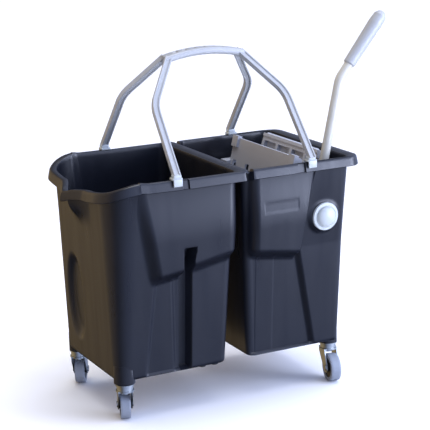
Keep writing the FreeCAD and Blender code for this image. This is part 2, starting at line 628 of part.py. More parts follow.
# lever socket with its sleeve, the cross bolt, the bent tube and the grip
hub = cross_rod("socket_hub", "S.socket_radius", "0", "0", "S.lever_y - S.socket_half",
                "S.lever_y + S.socket_half")
sleeve = rod("socket_sleeve", "S.sleeve_radius", "0", "S.lever_y", "0", "S.sleeve_top")
tube_seat = rod("socket_seat", "S.tube_radius", "0", "S.lever_y", "S.tube_start", "S.sleeve_top")
hub_bore = cross_rod("socket_bore", "S.shaft_radius", "0", "0", "S.lever_y - 20", "S.lever_y + 20")
bolt_bore = cross_rod("socket_bolt_bore", "S.bolt_radius", "0", "S.bolt_height", "S.lever_y - 20",
                      "S.lever_y + 20")
slab_clear = box("socket_clear", "-30", "S.jaw_back", "S.lever_y - 30", "S.lever_y + 30", "-20", "80")
socket = cut("lever_socket", fuse("socket_body", hub, sleeve), tube_seat, hub_bore, bolt_bore, slab_clear)
finish("lever_socket", socket, False)
turned(socket, Vector(0, 1, 0), "S.lean", "S.pivot_x + S.shift_x", "0", "S.pivot_z")
shank = cross_rod("bolt_shank", "S.bolt_radius", "0", "S.bolt_height", "S.lever_y - 13", "S.lever_y + 13")
heads = [cross_rod(f"bolt_head_{i}", "S.bolt_radius + 2.4", "0", "S.bolt_height", y0, y1) for i,
         (y0, y1) in enumerate(
    (("S.lever_y - 14", "S.lever_y - S.sleeve_radius"), ("S.lever_y + S.sleeve_radius", "S.lever_y + 14")))]
bolt = fuse("lever_bolt", shank, *heads)
finish("lever_bolt", bolt, False)
turned(bolt, Vector(0, 1, 0), "S.lean", "S.pivot_x + S.shift_x", "0", "S.pivot_z")


def tube_solid(tag, radius, start, end_gap):
    """Straight foot, bend and straight top of the lever at one radius."""
    tangent = "S.bend_radius * tan(S.bend_angle / 2 * 1deg)"
    foot = rod(f"{tag}_foot", radius, "0", "S.lever_y", start, f"S.lower_length - {tangent} - ({start})")
    bend = doc.addObject("Part::Torus", f"{tag}_bend")
    bend.Placement = Placement(Vector(), Rotation(Vector(-1, 0, 0), Vector(0, 0, 1), Vector(0, 1, 0),
                                                  "XYZ"))
    bind(bend, "Radius1", "S.bend_radius")
    bind(bend, "Radius2", radius)
    bind(bend, "Angle3", "S.bend_angle * 1deg")
    place(bend, "S.bend_radius", "S.lever_y", f"S.lower_length - {tangent}")
    top = doc.addObject("Part::Cylinder", f"{tag}_top")
    bind(top, "Radius", radius)
    bind(top, "Height", f"S.upper_length - {tangent} + {end_gap}")
    turned(top, Vector(0, 1, 0), "S.bend_angle", "S.bend_radius * (1 - cos(S.bend_angle * 1deg))",
           "S.lever_y",
           f"S.lower_length - {tangent} + S.bend_radius * sin(S.bend_angle * 1deg)")
    return fuse(tag, foot, bend, top)


tube_outer = tube_solid("tube_outer", "S.tube_radius", "S.tube_start", "0")
tube_inner = tube_solid("tube_inner", "S.tube_bore", "S.tube_start - 1", "1")
tube_bolt = cross_rod("tube_bolt_bore", "S.bolt_radius", "0", "S.bolt_height", "S.lever_y - 20",
                      "S.lever_y + 20")
tube = cut("lever_tube", tube_outer, tube_inner, tube_bolt)
finish("lever_tube", tube, False)
turned(tube, Vector(0, 1, 0), "S.lean", "S.pivot_x + S.shift_x", "0", "S.pivot_z")

grip_line = outline("grip_line", [
    corner("0", "0"), corner("S.grip_low - 1.5", "0"), corner("S.grip_low", "2"),
    corner("S.grip_high", "S.grip_length - 22"), corner("S.grip_high - 1", "S.grip_length - 8"),
    corner("S.grip_high - 5", "S.grip_length - 2"), corner("3", "S.grip_length"),
    corner("0", "S.grip_length"),
], "XZ")
grip_bore = rod("grip_bore", "S.tube_radius", "0", "0", "-1", "S.upper_length - S.grip_start + 1")
grip = cut("lever_grip", spin("grip_solid", grip_line, Vector(), Vector(0, 0, 1)), grip_bore)
finish("lever_grip", grip, False)
turned(grip, Vector(0, 1, 0), "S.lean + S.bend_angle",
       "S.pivot_x + S.shift_x + S.lower_length * sin(S.lean * 1deg)"
       " + S.grip_start * sin((S.lean + S.bend_angle) * 1deg)",
       "S.lever_y",
       "S.pivot_z + S.lower_length * cos(S.lean * 1deg)"
       " + S.grip_start * cos((S.lean + S.bend_angle) * 1deg)")

# fixed jaw: leaning perforated plate, curved tray under the shaft, tabs, and tongues on the ledges
plate = box("jaw_plate", "-S.plate_thick", "0", "-S.plate_half", "S.plate_half", "-S.plate_drop", "0")
tabs = [box(f"jaw_tab_{i}", "-S.plate_thick - 4", "1", y0, y1, "-16", "S.tab_rise") for i,
        (y0, y1) in enumerate(
    (("-S.plate_half", "-S.plate_half + S.tab_width"), ("S.plate_half - S.tab_width", "S.plate_half")))]
roll = cross_rod("jaw_roll", "S.roll_radius", "S.roll_radius - S.plate_thick", "-S.roll_radius",
                 "-S.plate_half",
                 "S.plate_half")
drains = [box(f"drain_{r}_{c}", "-20", "20", f"{c - 2} * S.hole_step - S.hole_side / 2",
              f"{c - 2} * S.hole_step + S.hole_side / 2", f"-50 - {r} * S.hole_step * 0.7",
              f"-50 - {r} * S.hole_step * 0.7 + S.hole_side")
          for r in range(3) for c in range(5)]
leaning = cut("jaw_leaning", fuse("jaw_plate_body", plate, roll, *tabs), *drains)
turned(leaning, Vector(0, 1, 0), "S.plate_lean", "S.plate_x", "0", "S.plate_z")
tray_line = outline("tray_line", [
    corner("S.plate_x - 36.5", "S.tray_z + 6"), corner("S.plate_x - 24", "S.tray_z - 8"),
    corner("S.tray_end - 34", "S.tray_z - 8"), corner("S.tray_end", "S.tray_z + 4"),
    corner("S.tray_end", "S.tray_z + 7"), corner("S.tray_end - 34", "S.tray_z - 5"),
    corner("S.plate_x - 23", "S.tray_z - 5"), corner("S.plate_x - 33", "S.tray_z + 7"),
], "XZ")
tray = extrude("tray", tray_line, "S.plate_half", "S.plate_half")
slots = [box(f"tray_slot_{i}", "S.plate_x - 10", "S.tray_end - 42", f"-84 + {i * 28}",
             f"-84 + {i * 28} + 8",
             "S.tray_z - 12", "S.tray_z") for i in range(7)]
tongues = [box(f"tongue_{i}", "S.ledge_x + 2", "S.ledge_x + S.ledge_long - 2", y0, y1, "S.ledge_z",
               "S.ledge_z + S.tongue_thick") for i, (y0, y1) in enumerate(
    (("-S.tongue_out", "-S.plate_half + 4"), ("S.plate_half - 4", "S.tongue_out")))]
fixed = fuse("fixed_jaw", leaning, cut("tray_slotted", tray, *slots), *tongues)
finish("fixed_jaw", fixed)

# torsion spring wound round the shaft beside the back knuckle
coil = doc.addObject("Part::Helix", "spring_path")
bind(coil, "Radius", "S.spring_radius")
bind(coil, "Pitch", "S.spring_pitch")
bind(coil, "Height", "S.spring_length")
wire = doc.addObject("Part::Circle", "spring_wire")
wire.Placement = Placement(Vector(), Rotation(Vector(1, 0, 0), 90))
bind(wire, "Radius", "S.wire_radius")
place(wire, "S.spring_radius", "0", "0")
winding = doc.addObject("Part::Sweep", "return_spring")
doc.recompute()
winding.Sections = [wire]
winding.Spine = (coil, [])
winding.Solid = True
winding.Frenet = True
finish("return_spring", winding, False)
winding.Placement = Placement(Vector(), Rotation(Vector(1, 0, 0), -90))
place(winding, "S.pivot_x + S.shift_x", "S.spring_y", "S.pivot_z")

# ---------------------------------------------------------------- carry handle


def section(centre, along, side, wide, thick):
    """Closed rectangle square to a direction."""
    along = Vector(along).normalize()
    across = (side - along * side.dot(along)).normalize()
    other = along.cross(across)
    corners = []
    for a, b in ((-1, -1), (1, -1), (1, 1), (-1, 1)):
        corners.append(centre + across * (a * wide / 2) + other * (b * thick / 2))
    return Part.makePolygon(corners + [corners[0]])


def leg(sx, sy):
    """One leg: straight up from its foot, rounded elbow, straight in to the grip."""
    foot = Vector(sx * size("foot_x"), sy * size("foot_y"), size("foot_up"))
    elbow = Vector(sx * size("elbow_x"), sy * size("elbow_y"), size("elbow_z"))
    join = Vector(sx * size("join_x"), sy * size("join_y"), size("join_z"))
    round_off = size("elbow_round")
    up = (elbow - foot).normalize()
    inward = (join - elbow).normalize()
    stops = [(foot - up * 2, up), (elbow - up * round_off, up)]
    for share in (0.25, 0.5, 0.75):
        start = elbow - up * round_off
        end = elbow + inward * round_off
        point = start * (1 - share) ** 2 + elbow * (2 * share * (1 - share)) + end * share ** 2
        stops.append((point, up * (1 - share) + inward * share))
    stops += [(elbow + inward * round_off, inward), (join, inward)]
    side = Vector(1, 0, 0)
    wires = []
    for point, along in stops:
        wires.append(section(point, along, side, size("leg_wide"), size("leg_thick")))
    return Part.makeLoft(wires, True, True)


def hand_grip():
    """Arched bar joining the four legs, with rounded long edges."""
    half = size("handle_half")
    wires = []
    for step in range(-4, 5):
        share = step / 4
        rise = size("handle_mid_z") - size("handle_end_z")
        z = size("handle_mid_z") - rise * share * share
        along = Vector(1, 0, -2 * rise * share / half)
        wires.append(section(Vector(half * share, 0, z), along, Vector(0, 1, 0), size("handle_wide"),
                             size("handle_thick")))
    bar = Part.makeLoft(wires, True, True)
    pockets_cut = []
    for index in range(7):
        x = (index - 3) * 16
        pockets_cut.append(Part.makeBox(9, 6, 2.5, Vector(x - 4.5, -3,
            size("handle_mid_z") + size("handle_thick") / 2 - 2)))
    return bar.cut(Part.makeCompound(pockets_cut))


handle = doc.addObject("Part::Feature", "carry_handle")
shape = hand_grip()
for sx in (-1, 1):
    for sy in (-1, 1):
        shape = shape.fuse(leg(sx, sy))
below_feet = Part.makeBox(400, 400, 20, Vector(-200, -200, size("foot_up") - 20))
handle.Shape = shape.cut(below_feet).removeSplitter()
finish("carry_handle", handle)

# snap feet: a clip over the rim with a socket block that takes the end of a leg
for name, sx, sy in (("front_left", -1, -1), ("front_right", 1, -1), ("back_left", -1, 1),
                     ("back_right", 1, 1)):
    side = "S.foot_x" if sx > 0 else "-S.foot_x"
    depth = "S.top_half + S.lip_reach" if sx < 0 else "S.top_half + S.lip_reach - 2"

    def reach_y(near, far, sy=sy):
        """Limits along Y of something between two distances from the middle plane."""
        return (f"-({far})", f"-({near})") if sy < 0 else (near, far)

    block = box(f"clip_{name}_block", f"{side} - S.clip_half", f"{side} + S.clip_half",
                *reach_y(f"{depth} - 15", f"{depth} + S.clip_gap + S.clip_wall"),
                "S.rim_height - S.lip_drop + 1", "S.foot_up")
    hollow = box(f"clip_{name}_hollow", f"{side} - 20", f"{side} + 20",
                 *reach_y(f"{depth} - 30", f"{depth} + S.clip_gap"), "S.rim_height - 40",
                 "S.rim_height + S.clip_gap")
    clip = cut(f"foot_{name}", block, hollow)
    finish(f"foot_{name}", clip)

# ---------------------------------------------------------------- casters


def caster(tag, stem_x, stem_y, yaw):
    """One swivel caster; built on its swivel axis with the wheel trailing along +X, then turned."""
    stem = fuse(f"{tag}_stem", rod(f"{tag}_stem_rod", "S.stem_radius", "0", "0",
                                   "S.crown_top - S.crown_thick - 4",
                                   "S.stem_top - S.crown_top + S.crown_thick + 4"),
                rod(f"{tag}_rivet", "S.rivet_radius", "0", "0", "S.crown_top - S.crown_thick - 4",
                    "4 - S.race_gap"))
    race_body = fuse(f"{tag}_race_body",
                     rod(f"{tag}_flange", "S.flange_radius", "0", "0", "S.boss_foot - S.flange_thick",
                         "S.flange_thick"),
                     rod(f"{tag}_cup", "S.race_radius", "0", "0", "S.crown_top + S.race_gap",
                         "S.boss_foot - S.crown_top - S.race_gap"))
    race = cut(f"{tag}_race", race_body, rod(f"{tag}_race_bore", "S.stem_radius", "0", "0",
                                             "S.crown_top - 5", "20"))
    crown = rod(f"{tag}_crown", "S.crown_radius", "0", "0", "S.crown_top - S.crown_thick", "S.crown_thick")
    cheeks = []
    for index, (y0, y1) in enumerate((("-S.cheek_gap - S.cheek_thick", "-S.cheek_gap"),
                                      ("S.cheek_gap", "S.cheek_gap + S.cheek_thick"))):
        line = outline(f"{tag}_cheek_line_{index}", [
            corner("-12", "S.crown_top"), corner("-11", "S.crown_top - 8"),
            corner("S.trail - 7", "S.wheel_radius - 4"), corner("S.trail - 3", "S.wheel_radius - 8"),
            corner("S.trail + 4", "S.wheel_radius - 8"), corner("S.trail + 8", "S.wheel_radius - 2"),
            corner("13", "S.crown_top"),
        ], "XZ")
        sheet_side = extrude(f"{tag}_cheek_{index}", line, "S.cheek_thick")
        place(sheet_side, "0", y1, "0")
        cheeks.append(sheet_side)
    shoulders = box(f"{tag}_shoulders", "-12", "13", "-S.cheek_gap - S.cheek_thick",
                    "S.cheek_gap + S.cheek_thick",
                    "S.crown_top - S.crown_thick", "S.crown_top")
    fork = cut(f"{tag}_fork", fuse(f"{tag}_fork_body", crown, shoulders, *cheeks),
               rod(f"{tag}_fork_bore", "S.stem_radius + S.hub_gap", "0", "0", "S.crown_top - 10", "20"),
               cross_rod(f"{tag}_axle_bore", "S.axle_radius", "S.trail", "S.wheel_radius", "-30", "30"))
    edge = "S.cheek_gap + S.cheek_thick"
    axle = fuse(f"{tag}_axle",
                cross_rod(f"{tag}_pin", "S.axle_radius", "S.trail", "S.wheel_radius", f"-({edge}) - 1.5",
                          f"{edge} + 1.5"),
                cross_rod(f"{tag}_head_a", "S.axle_head", "S.trail", "S.wheel_radius",
                          f"-({edge}) - 1.5", f"-({edge})"),
                cross_rod(f"{tag}_head_b", "S.axle_head", "S.trail", "S.wheel_radius", edge,
                          f"{edge} + 1.5"))
    wheel_hub = cut(f"{tag}_hub", fuse(
        f"{tag}_hub_body",
        cross_rod(f"{tag}_hub_rim", "S.hub_radius", "S.trail", "S.wheel_radius", "-S.hub_half",
                  "S.hub_half"),
        cross_rod(f"{tag}_hub_boss", "S.axle_radius + 4", "S.trail", "S.wheel_radius", "-S.boss_half",
                  "S.boss_half")),
        cross_rod(f"{tag}_hub_bore", "S.axle_radius + S.hub_gap", "S.trail", "S.wheel_radius", "-20", "20"))
    tyre_body = common(f"{tag}_tyre_body",
                       cross_rod(f"{tag}_tyre_block", "S.wheel_radius", "S.trail", "S.wheel_radius",
                                 "-S.wheel_half", "S.wheel_half"),
                       tyre_round(tag))
    tyre = cut(f"{tag}_tyre", tyre_body,
               cross_rod(f"{tag}_tyre_bore", "S.hub_radius", "S.trail", "S.wheel_radius", "-20", "20"))
    for item in (stem, race, fork, axle, wheel_hub, tyre):
        finish(item.Name, item, False)
        turned(item, Vector(0, 0, 1), yaw, f"{stem_x} + S.shift_x", stem_y)


def tyre_round(tag):
    """Barrel that rounds the shoulders of a tyre."""
    ball = doc.addObject("Part::Sphere", f"{tag}_tyre_ball")
    bind(ball, "Radius", "S.wheel_radius + 0.6")
    return place(ball, "S.trail", "0", "S.wheel_radius")


caster("caster_fl", "S.stem_left", "-S.stem_y_left", "S.yaw_fl")
caster("caster_bl", "S.stem_left", "S.stem_y_left", "S.yaw_bl")
caster("caster_fr", "S.stem_right", "-S.stem_y_right", "S.yaw_fr")
caster("caster_br", "S.stem_right", "S.stem_y_right", "S.yaw_br")

# ---------------------------------------------------------------- check and write
doc.recompute()
for item in doc.Objects:
    for state in ("Invalid", "Error"):
        if state in item.State:
            raise RuntimeError(f"{item.Label}: {state}")
os.makedirs("parts", exist_ok=True)
for name, item in parts.items():
    solid = item.Shape
    if solid.isNull() or not solid.isValid():
        raise RuntimeError(f"{name}: no valid shape")
    solid.exportStep(f"parts/{name}.step")
    limits = solid.BoundBox
    print(f"{name}: {solid.Volume / 1000:.1f} cm3, X {limits.XMin:.1f}..{limits.XMax:.1f}, "
          f"Y {limits.YMin:.1f}..{limits.YMax:.1f}, Z {limits.ZMin:.1f}..{limits.ZMax:.1f}, "
          f"solids {len(solid.Solids)}")
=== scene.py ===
import math

import bpy
import numpy as np
from mathutils import Matrix, Vector


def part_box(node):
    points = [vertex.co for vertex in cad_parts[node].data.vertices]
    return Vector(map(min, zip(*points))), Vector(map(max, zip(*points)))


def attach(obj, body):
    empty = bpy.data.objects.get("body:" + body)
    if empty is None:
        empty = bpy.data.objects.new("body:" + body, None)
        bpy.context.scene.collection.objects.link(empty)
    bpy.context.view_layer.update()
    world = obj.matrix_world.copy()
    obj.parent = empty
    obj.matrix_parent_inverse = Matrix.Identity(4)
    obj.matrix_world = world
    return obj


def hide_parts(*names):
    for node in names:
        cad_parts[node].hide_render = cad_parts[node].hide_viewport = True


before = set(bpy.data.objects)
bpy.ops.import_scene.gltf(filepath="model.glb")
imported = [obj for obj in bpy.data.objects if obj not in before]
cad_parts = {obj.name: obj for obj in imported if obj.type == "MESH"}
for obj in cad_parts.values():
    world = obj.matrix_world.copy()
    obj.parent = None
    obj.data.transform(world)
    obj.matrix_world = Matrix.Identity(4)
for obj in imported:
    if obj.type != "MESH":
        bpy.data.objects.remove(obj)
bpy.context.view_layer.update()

# ---- Studio -------------------------------------------------------------------------------
# White sweep of floor, softboxes high and low on the right and one overhead, and a broad soft sun.
# The room is cool in front and warm on the left. The camera is a long lens a little above the rims.


def linear(code, alpha=1.0):
    """sRGB hex colour as the linear values a shader wants."""
    channels = [int(code[i:i + 2], 16) / 255 for i in (1, 3, 5)]
    return [c / 12.92 if c <= 0.04045 else ((c + 0.055) / 1.055) ** 2.4 for c in channels] + [alpha]


def add(tree, kind, settings=None, inputs=None):
    """Adds one node, sets its properties, and sets or links its inputs."""
    made = tree.nodes.new(kind)
    for name, value in (settings or {}).items():
        setattr(made, name, value)
    for name, value in (inputs or {}).items():
        if isinstance(value, bpy.types.NodeSocket):
            tree.links.new(value, made.inputs[name])
        else:
            made.inputs[name].default_value = value
    return made


def start_material(name):
    """Empty node material with its output; returns material, tree and output node."""
    material = bpy.data.materials.new(name)
    material.use_nodes = True
    tree = material.node_tree
    tree.nodes.clear()
    return material, tree, tree.nodes.new("ShaderNodeOutputMaterial")


bpy.context.scene.view_settings.view_transform = "Standard"
camera_data = bpy.data.cameras.new("studio_camera")
camera_data.lens = 125.83
camera_data.sensor_width = 36.0
camera_data.clip_end = 60.0
camera = bpy.data.objects.new("studio_camera", camera_data)
camera.location = (-1.0945, -2.1340, 0.8968)
camera.rotation_euler = [math.radians(a) for a in (75.714, 1.343, -27.534)]
bpy.context.scene.collection.objects.link(camera)
bpy.context.scene.camera = camera

floor_mesh = bpy.data.meshes.new("studio_floor")
reach = 14.0
floor_mesh.from_pydata([(-reach, -reach, 0), (reach, -reach, 0), (reach, reach, 0), (-reach, reach, 0)], [],
                       [(0, 1, 2, 3)])
floor = bpy.data.objects.new("studio_floor", floor_mesh)
bpy.context.scene.collection.objects.link(floor)
paper, tree, out = start_material("white paper sweep")
fleck = add(tree, "ShaderNodeTexNoise", inputs={"Scale": 3.0, "Detail": 2.0})
tint = add(tree, "ShaderNodeMapRange", inputs={"Value": fleck.outputs["Fac"], "To Min": 0.93,
                                               "To Max": 0.96})
grey = add(tree, "ShaderNodeCombineColor", inputs={"Red": tint.outputs[0], "Green": tint.outputs[0],
                                                   "Blue": tint.outputs[0]})
skin = add(tree, "ShaderNodeBsdfPrincipled", inputs={"Base Color": grey.outputs[0], "Roughness": 0.9})
tree.links.new(skin.outputs[0], out.inputs[0])
floor_mesh.materials.append(paper)
floor.visible_glossy = False

for name, place, target, size, power, colour in (
    ("softbox_right", (2.4, -1.5, 1.5), (0.0, 0.0, 0.25), 0.9, 20, "#dfe7ff"),
    ("softbox_low", (1.35, -1.5, 0.42), (0.2, -0.12, 0.22), 0.9, 38, "#d3dcf8"),
    ("softbox_top", (0.2, 0.3, 2.9), (0.0, 0.0, 0.3), 1.6, 16, "#ffffff"),
):
    lamp = bpy.data.lights.new(name, "AREA")
    lamp.size = size
    lamp.energy = power
    lamp.color = linear(colour)[:3]
    light = bpy.data.objects.new(name, lamp)
    light.location = place
    light.rotation_euler = (Vector(target) - Vector(place)).to_track_quat("-Z", "Y").to_euler()
    bpy.context.scene.collection.objects.link(light)
ceiling = bpy.data.lights.new("ceiling", "SUN")
ceiling.energy = 1.6
ceiling.angle = math.radians(50)
bpy.context.scene.collection.objects.link(bpy.data.objects.new("ceiling", ceiling))

# The room: cool daylight from the front right, a dim warm wall behind on the left, dark floor.
world = bpy.data.worlds.new("studio_surround")
bpy.context.scene.world = world
world.use_nodes = True
tree = world.node_tree
tree.nodes.clear()
out = tree.nodes.new("ShaderNodeOutputWorld")
way = add(tree, "ShaderNodeTexCoord")
facing = add(tree, "ShaderNodeVectorMath", {"operation": "DOT_PRODUCT"}, {0: way.outputs["Generated"]})
facing.inputs[1].default_value = (0.75, -0.66, 0.0)
share = add(tree, "ShaderNodeMapRange", inputs={"Value": facing.outputs["Value"], "From Min": -1.0})
walls = add(tree, "ShaderNodeValToRGB", inputs={"Fac": share.outputs[0]})
split = add(tree, "ShaderNodeSeparateXYZ", inputs={"Vector": way.outputs["Generated"]})
height = add(tree, "ShaderNodeMapRange", inputs={"Value": split.outputs["Z"], "From Min": -1.0})
levels = add(tree, "ShaderNodeValToRGB", inputs={"Fac": height.outputs[0]})
for ramp, stops in ((walls, ((0.0, "#a99474"), (0.12, "#9a8460"), (0.3, "#3a3836"), (0.5, "#8088a0"),
                             (0.7, "#a4b3de"), (0.95, "#c6d3fa"))),
                    (levels, ((0.0, "#101010"), (0.19, "#262626"), (0.31, "#b4b4b4"), (0.42, "#efefef"),
                              (0.6, "#ffffff"), (1.0, "#ffffff")))):
    band = ramp.color_ramp
    while len(band.elements) < len(stops):
        band.elements.new(0.5)
    for element, (position, colour) in zip(band.elements, stops):
        element.position = position
        element.color = linear(colour)
room = add(tree, "ShaderNodeMix", {"data_type": "RGBA", "blend_type": "MULTIPLY"}, {"Factor": 1.0})
tree.links.new(walls.outputs["Color"], room.inputs["A"])
tree.links.new(levels.outputs["Color"], room.inputs["B"])
glow = add(tree, "ShaderNodeBackground", inputs={"Color": room.outputs["Result"], "Strength": 2.2})
tree.links.new(glow.outputs[0], out.inputs[0])

# ---- Buckets ------------------------------------------------------------------------------
# Two tapered tubs injection moulded in dark grey polypropylene: thin walls with raised upper
# panels, stepped lower panels, and a rim turned down as a skirt. The clear-water tub hooks over
# the wringer tub's edge and has a pouring spout in its end.
joint_x = (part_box("left_bucket")[1].x - 0.011) * 1000
MM = 0.001
EDGE_POINTS, CORNER_POINTS, END_POINTS = 120, 14, 50
# Outlines in mm from the joint between the tubs: two ends, half depth, corner radii left and right.
WATER_BASE, WATER_RIM, WATER_LIP = (-215, -24, 108, 20, 14), (-226, -10, 129, 46, 14), (-238, 11, 141,
                                                                                        58, 14)
WRINGER_BASE, WRINGER_RIM, WRINGER_LIP = (17, 187, 108, 14, 12), (3.5, 196, 129, 14, 20), (3.5, 216, 139,
                                                                                           14, 24)
NOTCH_DEPTH = 3.2


def ease(t):
    """Smooth step from 0 to 1."""
    t = np.clip(t, 0.0, 1.0)
    return t * t * (3 - 2 * t)


def ring(x0, x1, half, left_radius, right_radius, anchors=((), ())):
    """Rounded rectangle seen from above, anticlockwise from the front left corner. The anchors are
    shares of a long side and the X that the points at those shares keep to."""
    spots, outward = [], []
    corners = ((x1 - right_radius, -half + right_radius, right_radius, -90),
               (x1 - right_radius, half - right_radius, right_radius, 0),
               (x0 + left_radius, half - left_radius, left_radius, 90),
               (x0 + left_radius, -half + left_radius, left_radius, 180))
    runs = (((x0 + left_radius, -half), (x1 - right_radius, -half), EDGE_POINTS, (0, -1)),
            ((x1, -half + right_radius), (x1, half - right_radius), END_POINTS, (1, 0)),
            ((x1 - right_radius, half), (x0 + left_radius, half), EDGE_POINTS, (0, 1)),
            ((x0, half - left_radius), (x0, -half + left_radius), END_POINTS, (-1, 0)))
    for (start, end, count, normal), (cx, cy, radius, turn) in zip(runs, corners):
        share = np.arange(count)[:, None] / count
        run = np.array(start) * (1 - share) + np.array(end) * share
        if normal[1]:
            low, high = x0 + left_radius, x1 - right_radius
            fixed = np.clip(anchors[1], low + 0.5, high - 0.5)
            along = share[:, 0] if normal[1] < 0 else 1 - share[:, 0]
            run[:, 0] = np.interp(along, [0, *anchors[0], 1], [low, *fixed, high])
        spots.append(run)
        outward.append(np.tile(normal, (count, 1)))
        angle = np.radians(turn + 90 * np.arange(CORNER_POINTS) / CORNER_POINTS)
        direction = np.stack([np.cos(angle), np.sin(angle)], 1)
        spots.append(np.array((cx, cy)) + direction * radius)
        outward.append(direction)
    return np.concatenate(spots), np.concatenate(outward).astype(float)


def loft_rows(rows, close_start=True, close_end=True):
    """Quads between rings of equal length, with a fan closing each end."""
    count = len(rows[0])
    points = [p for row in rows for p in row]
    faces = []
    for r in range(len(rows) - 1):
        for i in range(count):
            j = (i + 1) % count
            faces.append((r * count + i, r * count + j, (r + 1) * count + j, (r + 1) * count + i))
    if close_start:
        points.append(np.mean(rows[0], axis=0))
        faces += [(len(points) - 1, (i + 1) % count, i) for i in range(count)]
    if close_end:
        points.append(np.mean(rows[-1], axis=0))
        base = (len(rows) - 1) * count
        faces += [(len(points) - 1, base + i, base + (i + 1) % count) for i in range(count)]
    return points, faces


def make_piece(name, parts, material, shift=(0.0, 0.0, 0.0), smooth=40):
    """One object from several (points in mm, faces) pairs, placed in the frame, shaded by angle."""
    points, faces = [], []
    for part_points, part_faces in parts:
        offset = len(points)
        points += [((p[0] + shift[0]) * MM, (p[1] + shift[1]) * MM,
                    (p[2] + shift[2]) * MM) for p in part_points]
        faces += [tuple(index + offset for index in face) for face in part_faces]
    mesh = bpy.data.meshes.new(name)
    mesh.from_pydata(points, [], faces)
    mesh.materials.append(material)
    mesh.shade_smooth()
    mesh.set_sharp_from_angle(angle=math.radians(smooth))
    piece = bpy.data.objects.new(name, mesh)
    bpy.context.scene.collection.objects.link(piece)
    return piece


def tub(walls, lip, relief, follow, dip, push, base_z=71.0, top_z=388.0, wall=3.0):
    """Shell of a tub from the middle of its underside, up the outside, over the rim and down inside.
    The lip is its outline, how far it reaches out, where it has no skirt, and its notch along X."""
    lip_outline, lip_reach, bare, (notch_low, notch_high) = lip

    def at(z, inset=0.0):
        share = (z - base_z) / (top_z - base_z)
        low, high = walls
        x0, x1, half, left, right = [a + (b - a) * share for a, b in zip(low, high)]
        return ring(x0 + inset, x1 - inset, half - inset, max(left - inset, 2), max(right - inset, 2),
                    follow(z))

    def row(z, inset=0.0, relieved=1.0, toward_lip=0.0, lip_inset=0.0, drop=0.0):
        spots, outward = at(z, inset)
        outer, _ = at(z)
        amount = relief(outer[:, 0], outer[:, 1], np.full(len(outer), z), outward) * relieved
        spots = spots + outward * amount[:, None]
        if toward_lip:
            x0, x1, half, left, right = lip_outline
            edge, _ = ring(x0 + lip_inset, x1 - lip_inset, half - lip_inset, left - lip_inset,
                           right - lip_inset, follow(top_z))
            spread = toward_lip * lip_reach(edge[:, 0], edge[:, 1])
            notch = ease(edge[:, 0] - notch_low) * (1 - ease(edge[:, 0] - notch_high)) * (z < top_z - 1)
            long_side = np.abs(edge[:, 1]) > 120
            edge[:, 1] -= np.sign(edge[:, 1]) * NOTCH_DEPTH * notch * long_side
            spots = spots * (1 - spread[:, None]) + edge * spread[:, None]
        lowered = z - dip * ease((z - 300) / 70) - drop
        spots[:, 0] -= push * ease((z - 300) / 80)
        return np.column_stack([spots, lowered])

    base, _ = at(base_z)
    middle = base.mean(axis=0)

    def flat(z, share, inset):
        spots, _ = at(z, inset)
        return np.column_stack([middle + (spots - middle) * share, np.full(len(spots), z)])

    rows = [flat(base_z, 0.12, 3), flat(base_z, 0.6, 3), flat(base_z, 0.97, 3), row(base_z + 0.6, 1.4, 0.4)]
    rows.append(row(base_z + 2.2, 0.3, 0.8))
    rows += [row(z) for z in np.arange(base_z + 5, top_z - 9, 2.6)]
    rows.append(row(top_z - 6))
    rows.append(row(top_z - 3.4, 0, 1, 1, 2.6))
    rows.append(row(top_z - 15.2, 0, 1, 1, 2.6, -bare * 11.0))
    rows.append(row(top_z - 16, 0, 1, 1, 1.2, -bare * 11.8))
    rows.append(row(top_z - 15, 0, 1, 1, 0.2, -bare * 11.0))
    rows.append(row(top_z - 9, 0, 1, 1, 1.3, -bare * 6.5))
    rows.append(row(top_z - 4.0, 0, 1, 1, 2.4, -bare * 1.0))
    rows.append(row(top_z - 2.2, 0, 1, 1, 2.9))
    rows.append(row(top_z - 0.7, 0, 1, 1, 4.0))
    rows.append(row(top_z, 0, 1, 1, 6.0))
    rows.append(row(top_z, 0.4, 1, 0.25, 6.0))
    rows.append(row(top_z - 1.0, wall - 0.6, 1))
    rows.append(row(top_z - 3.5, wall, 1))
    rows += [row(z, wall) for z in np.arange(top_z - 8, base_z + 8, -6.5)]
    rows.append(row(base_z + 5, wall + 1.0, 0.7))
    rows.append(row(base_z + wall + 0.4, wall + 3.0, 0.3))
    rows += [flat(base_z + wall, share, wall + 4) for share in (0.97, 0.6, 0.12)]
    return loft_rows(rows)


def slant(z, x_high, z_high, x_low, z_low):
    """Where a leaning edge stands at height z."""
    return x_low + (x_high - x_low) * (z - z_low) / (z_high - z_low)


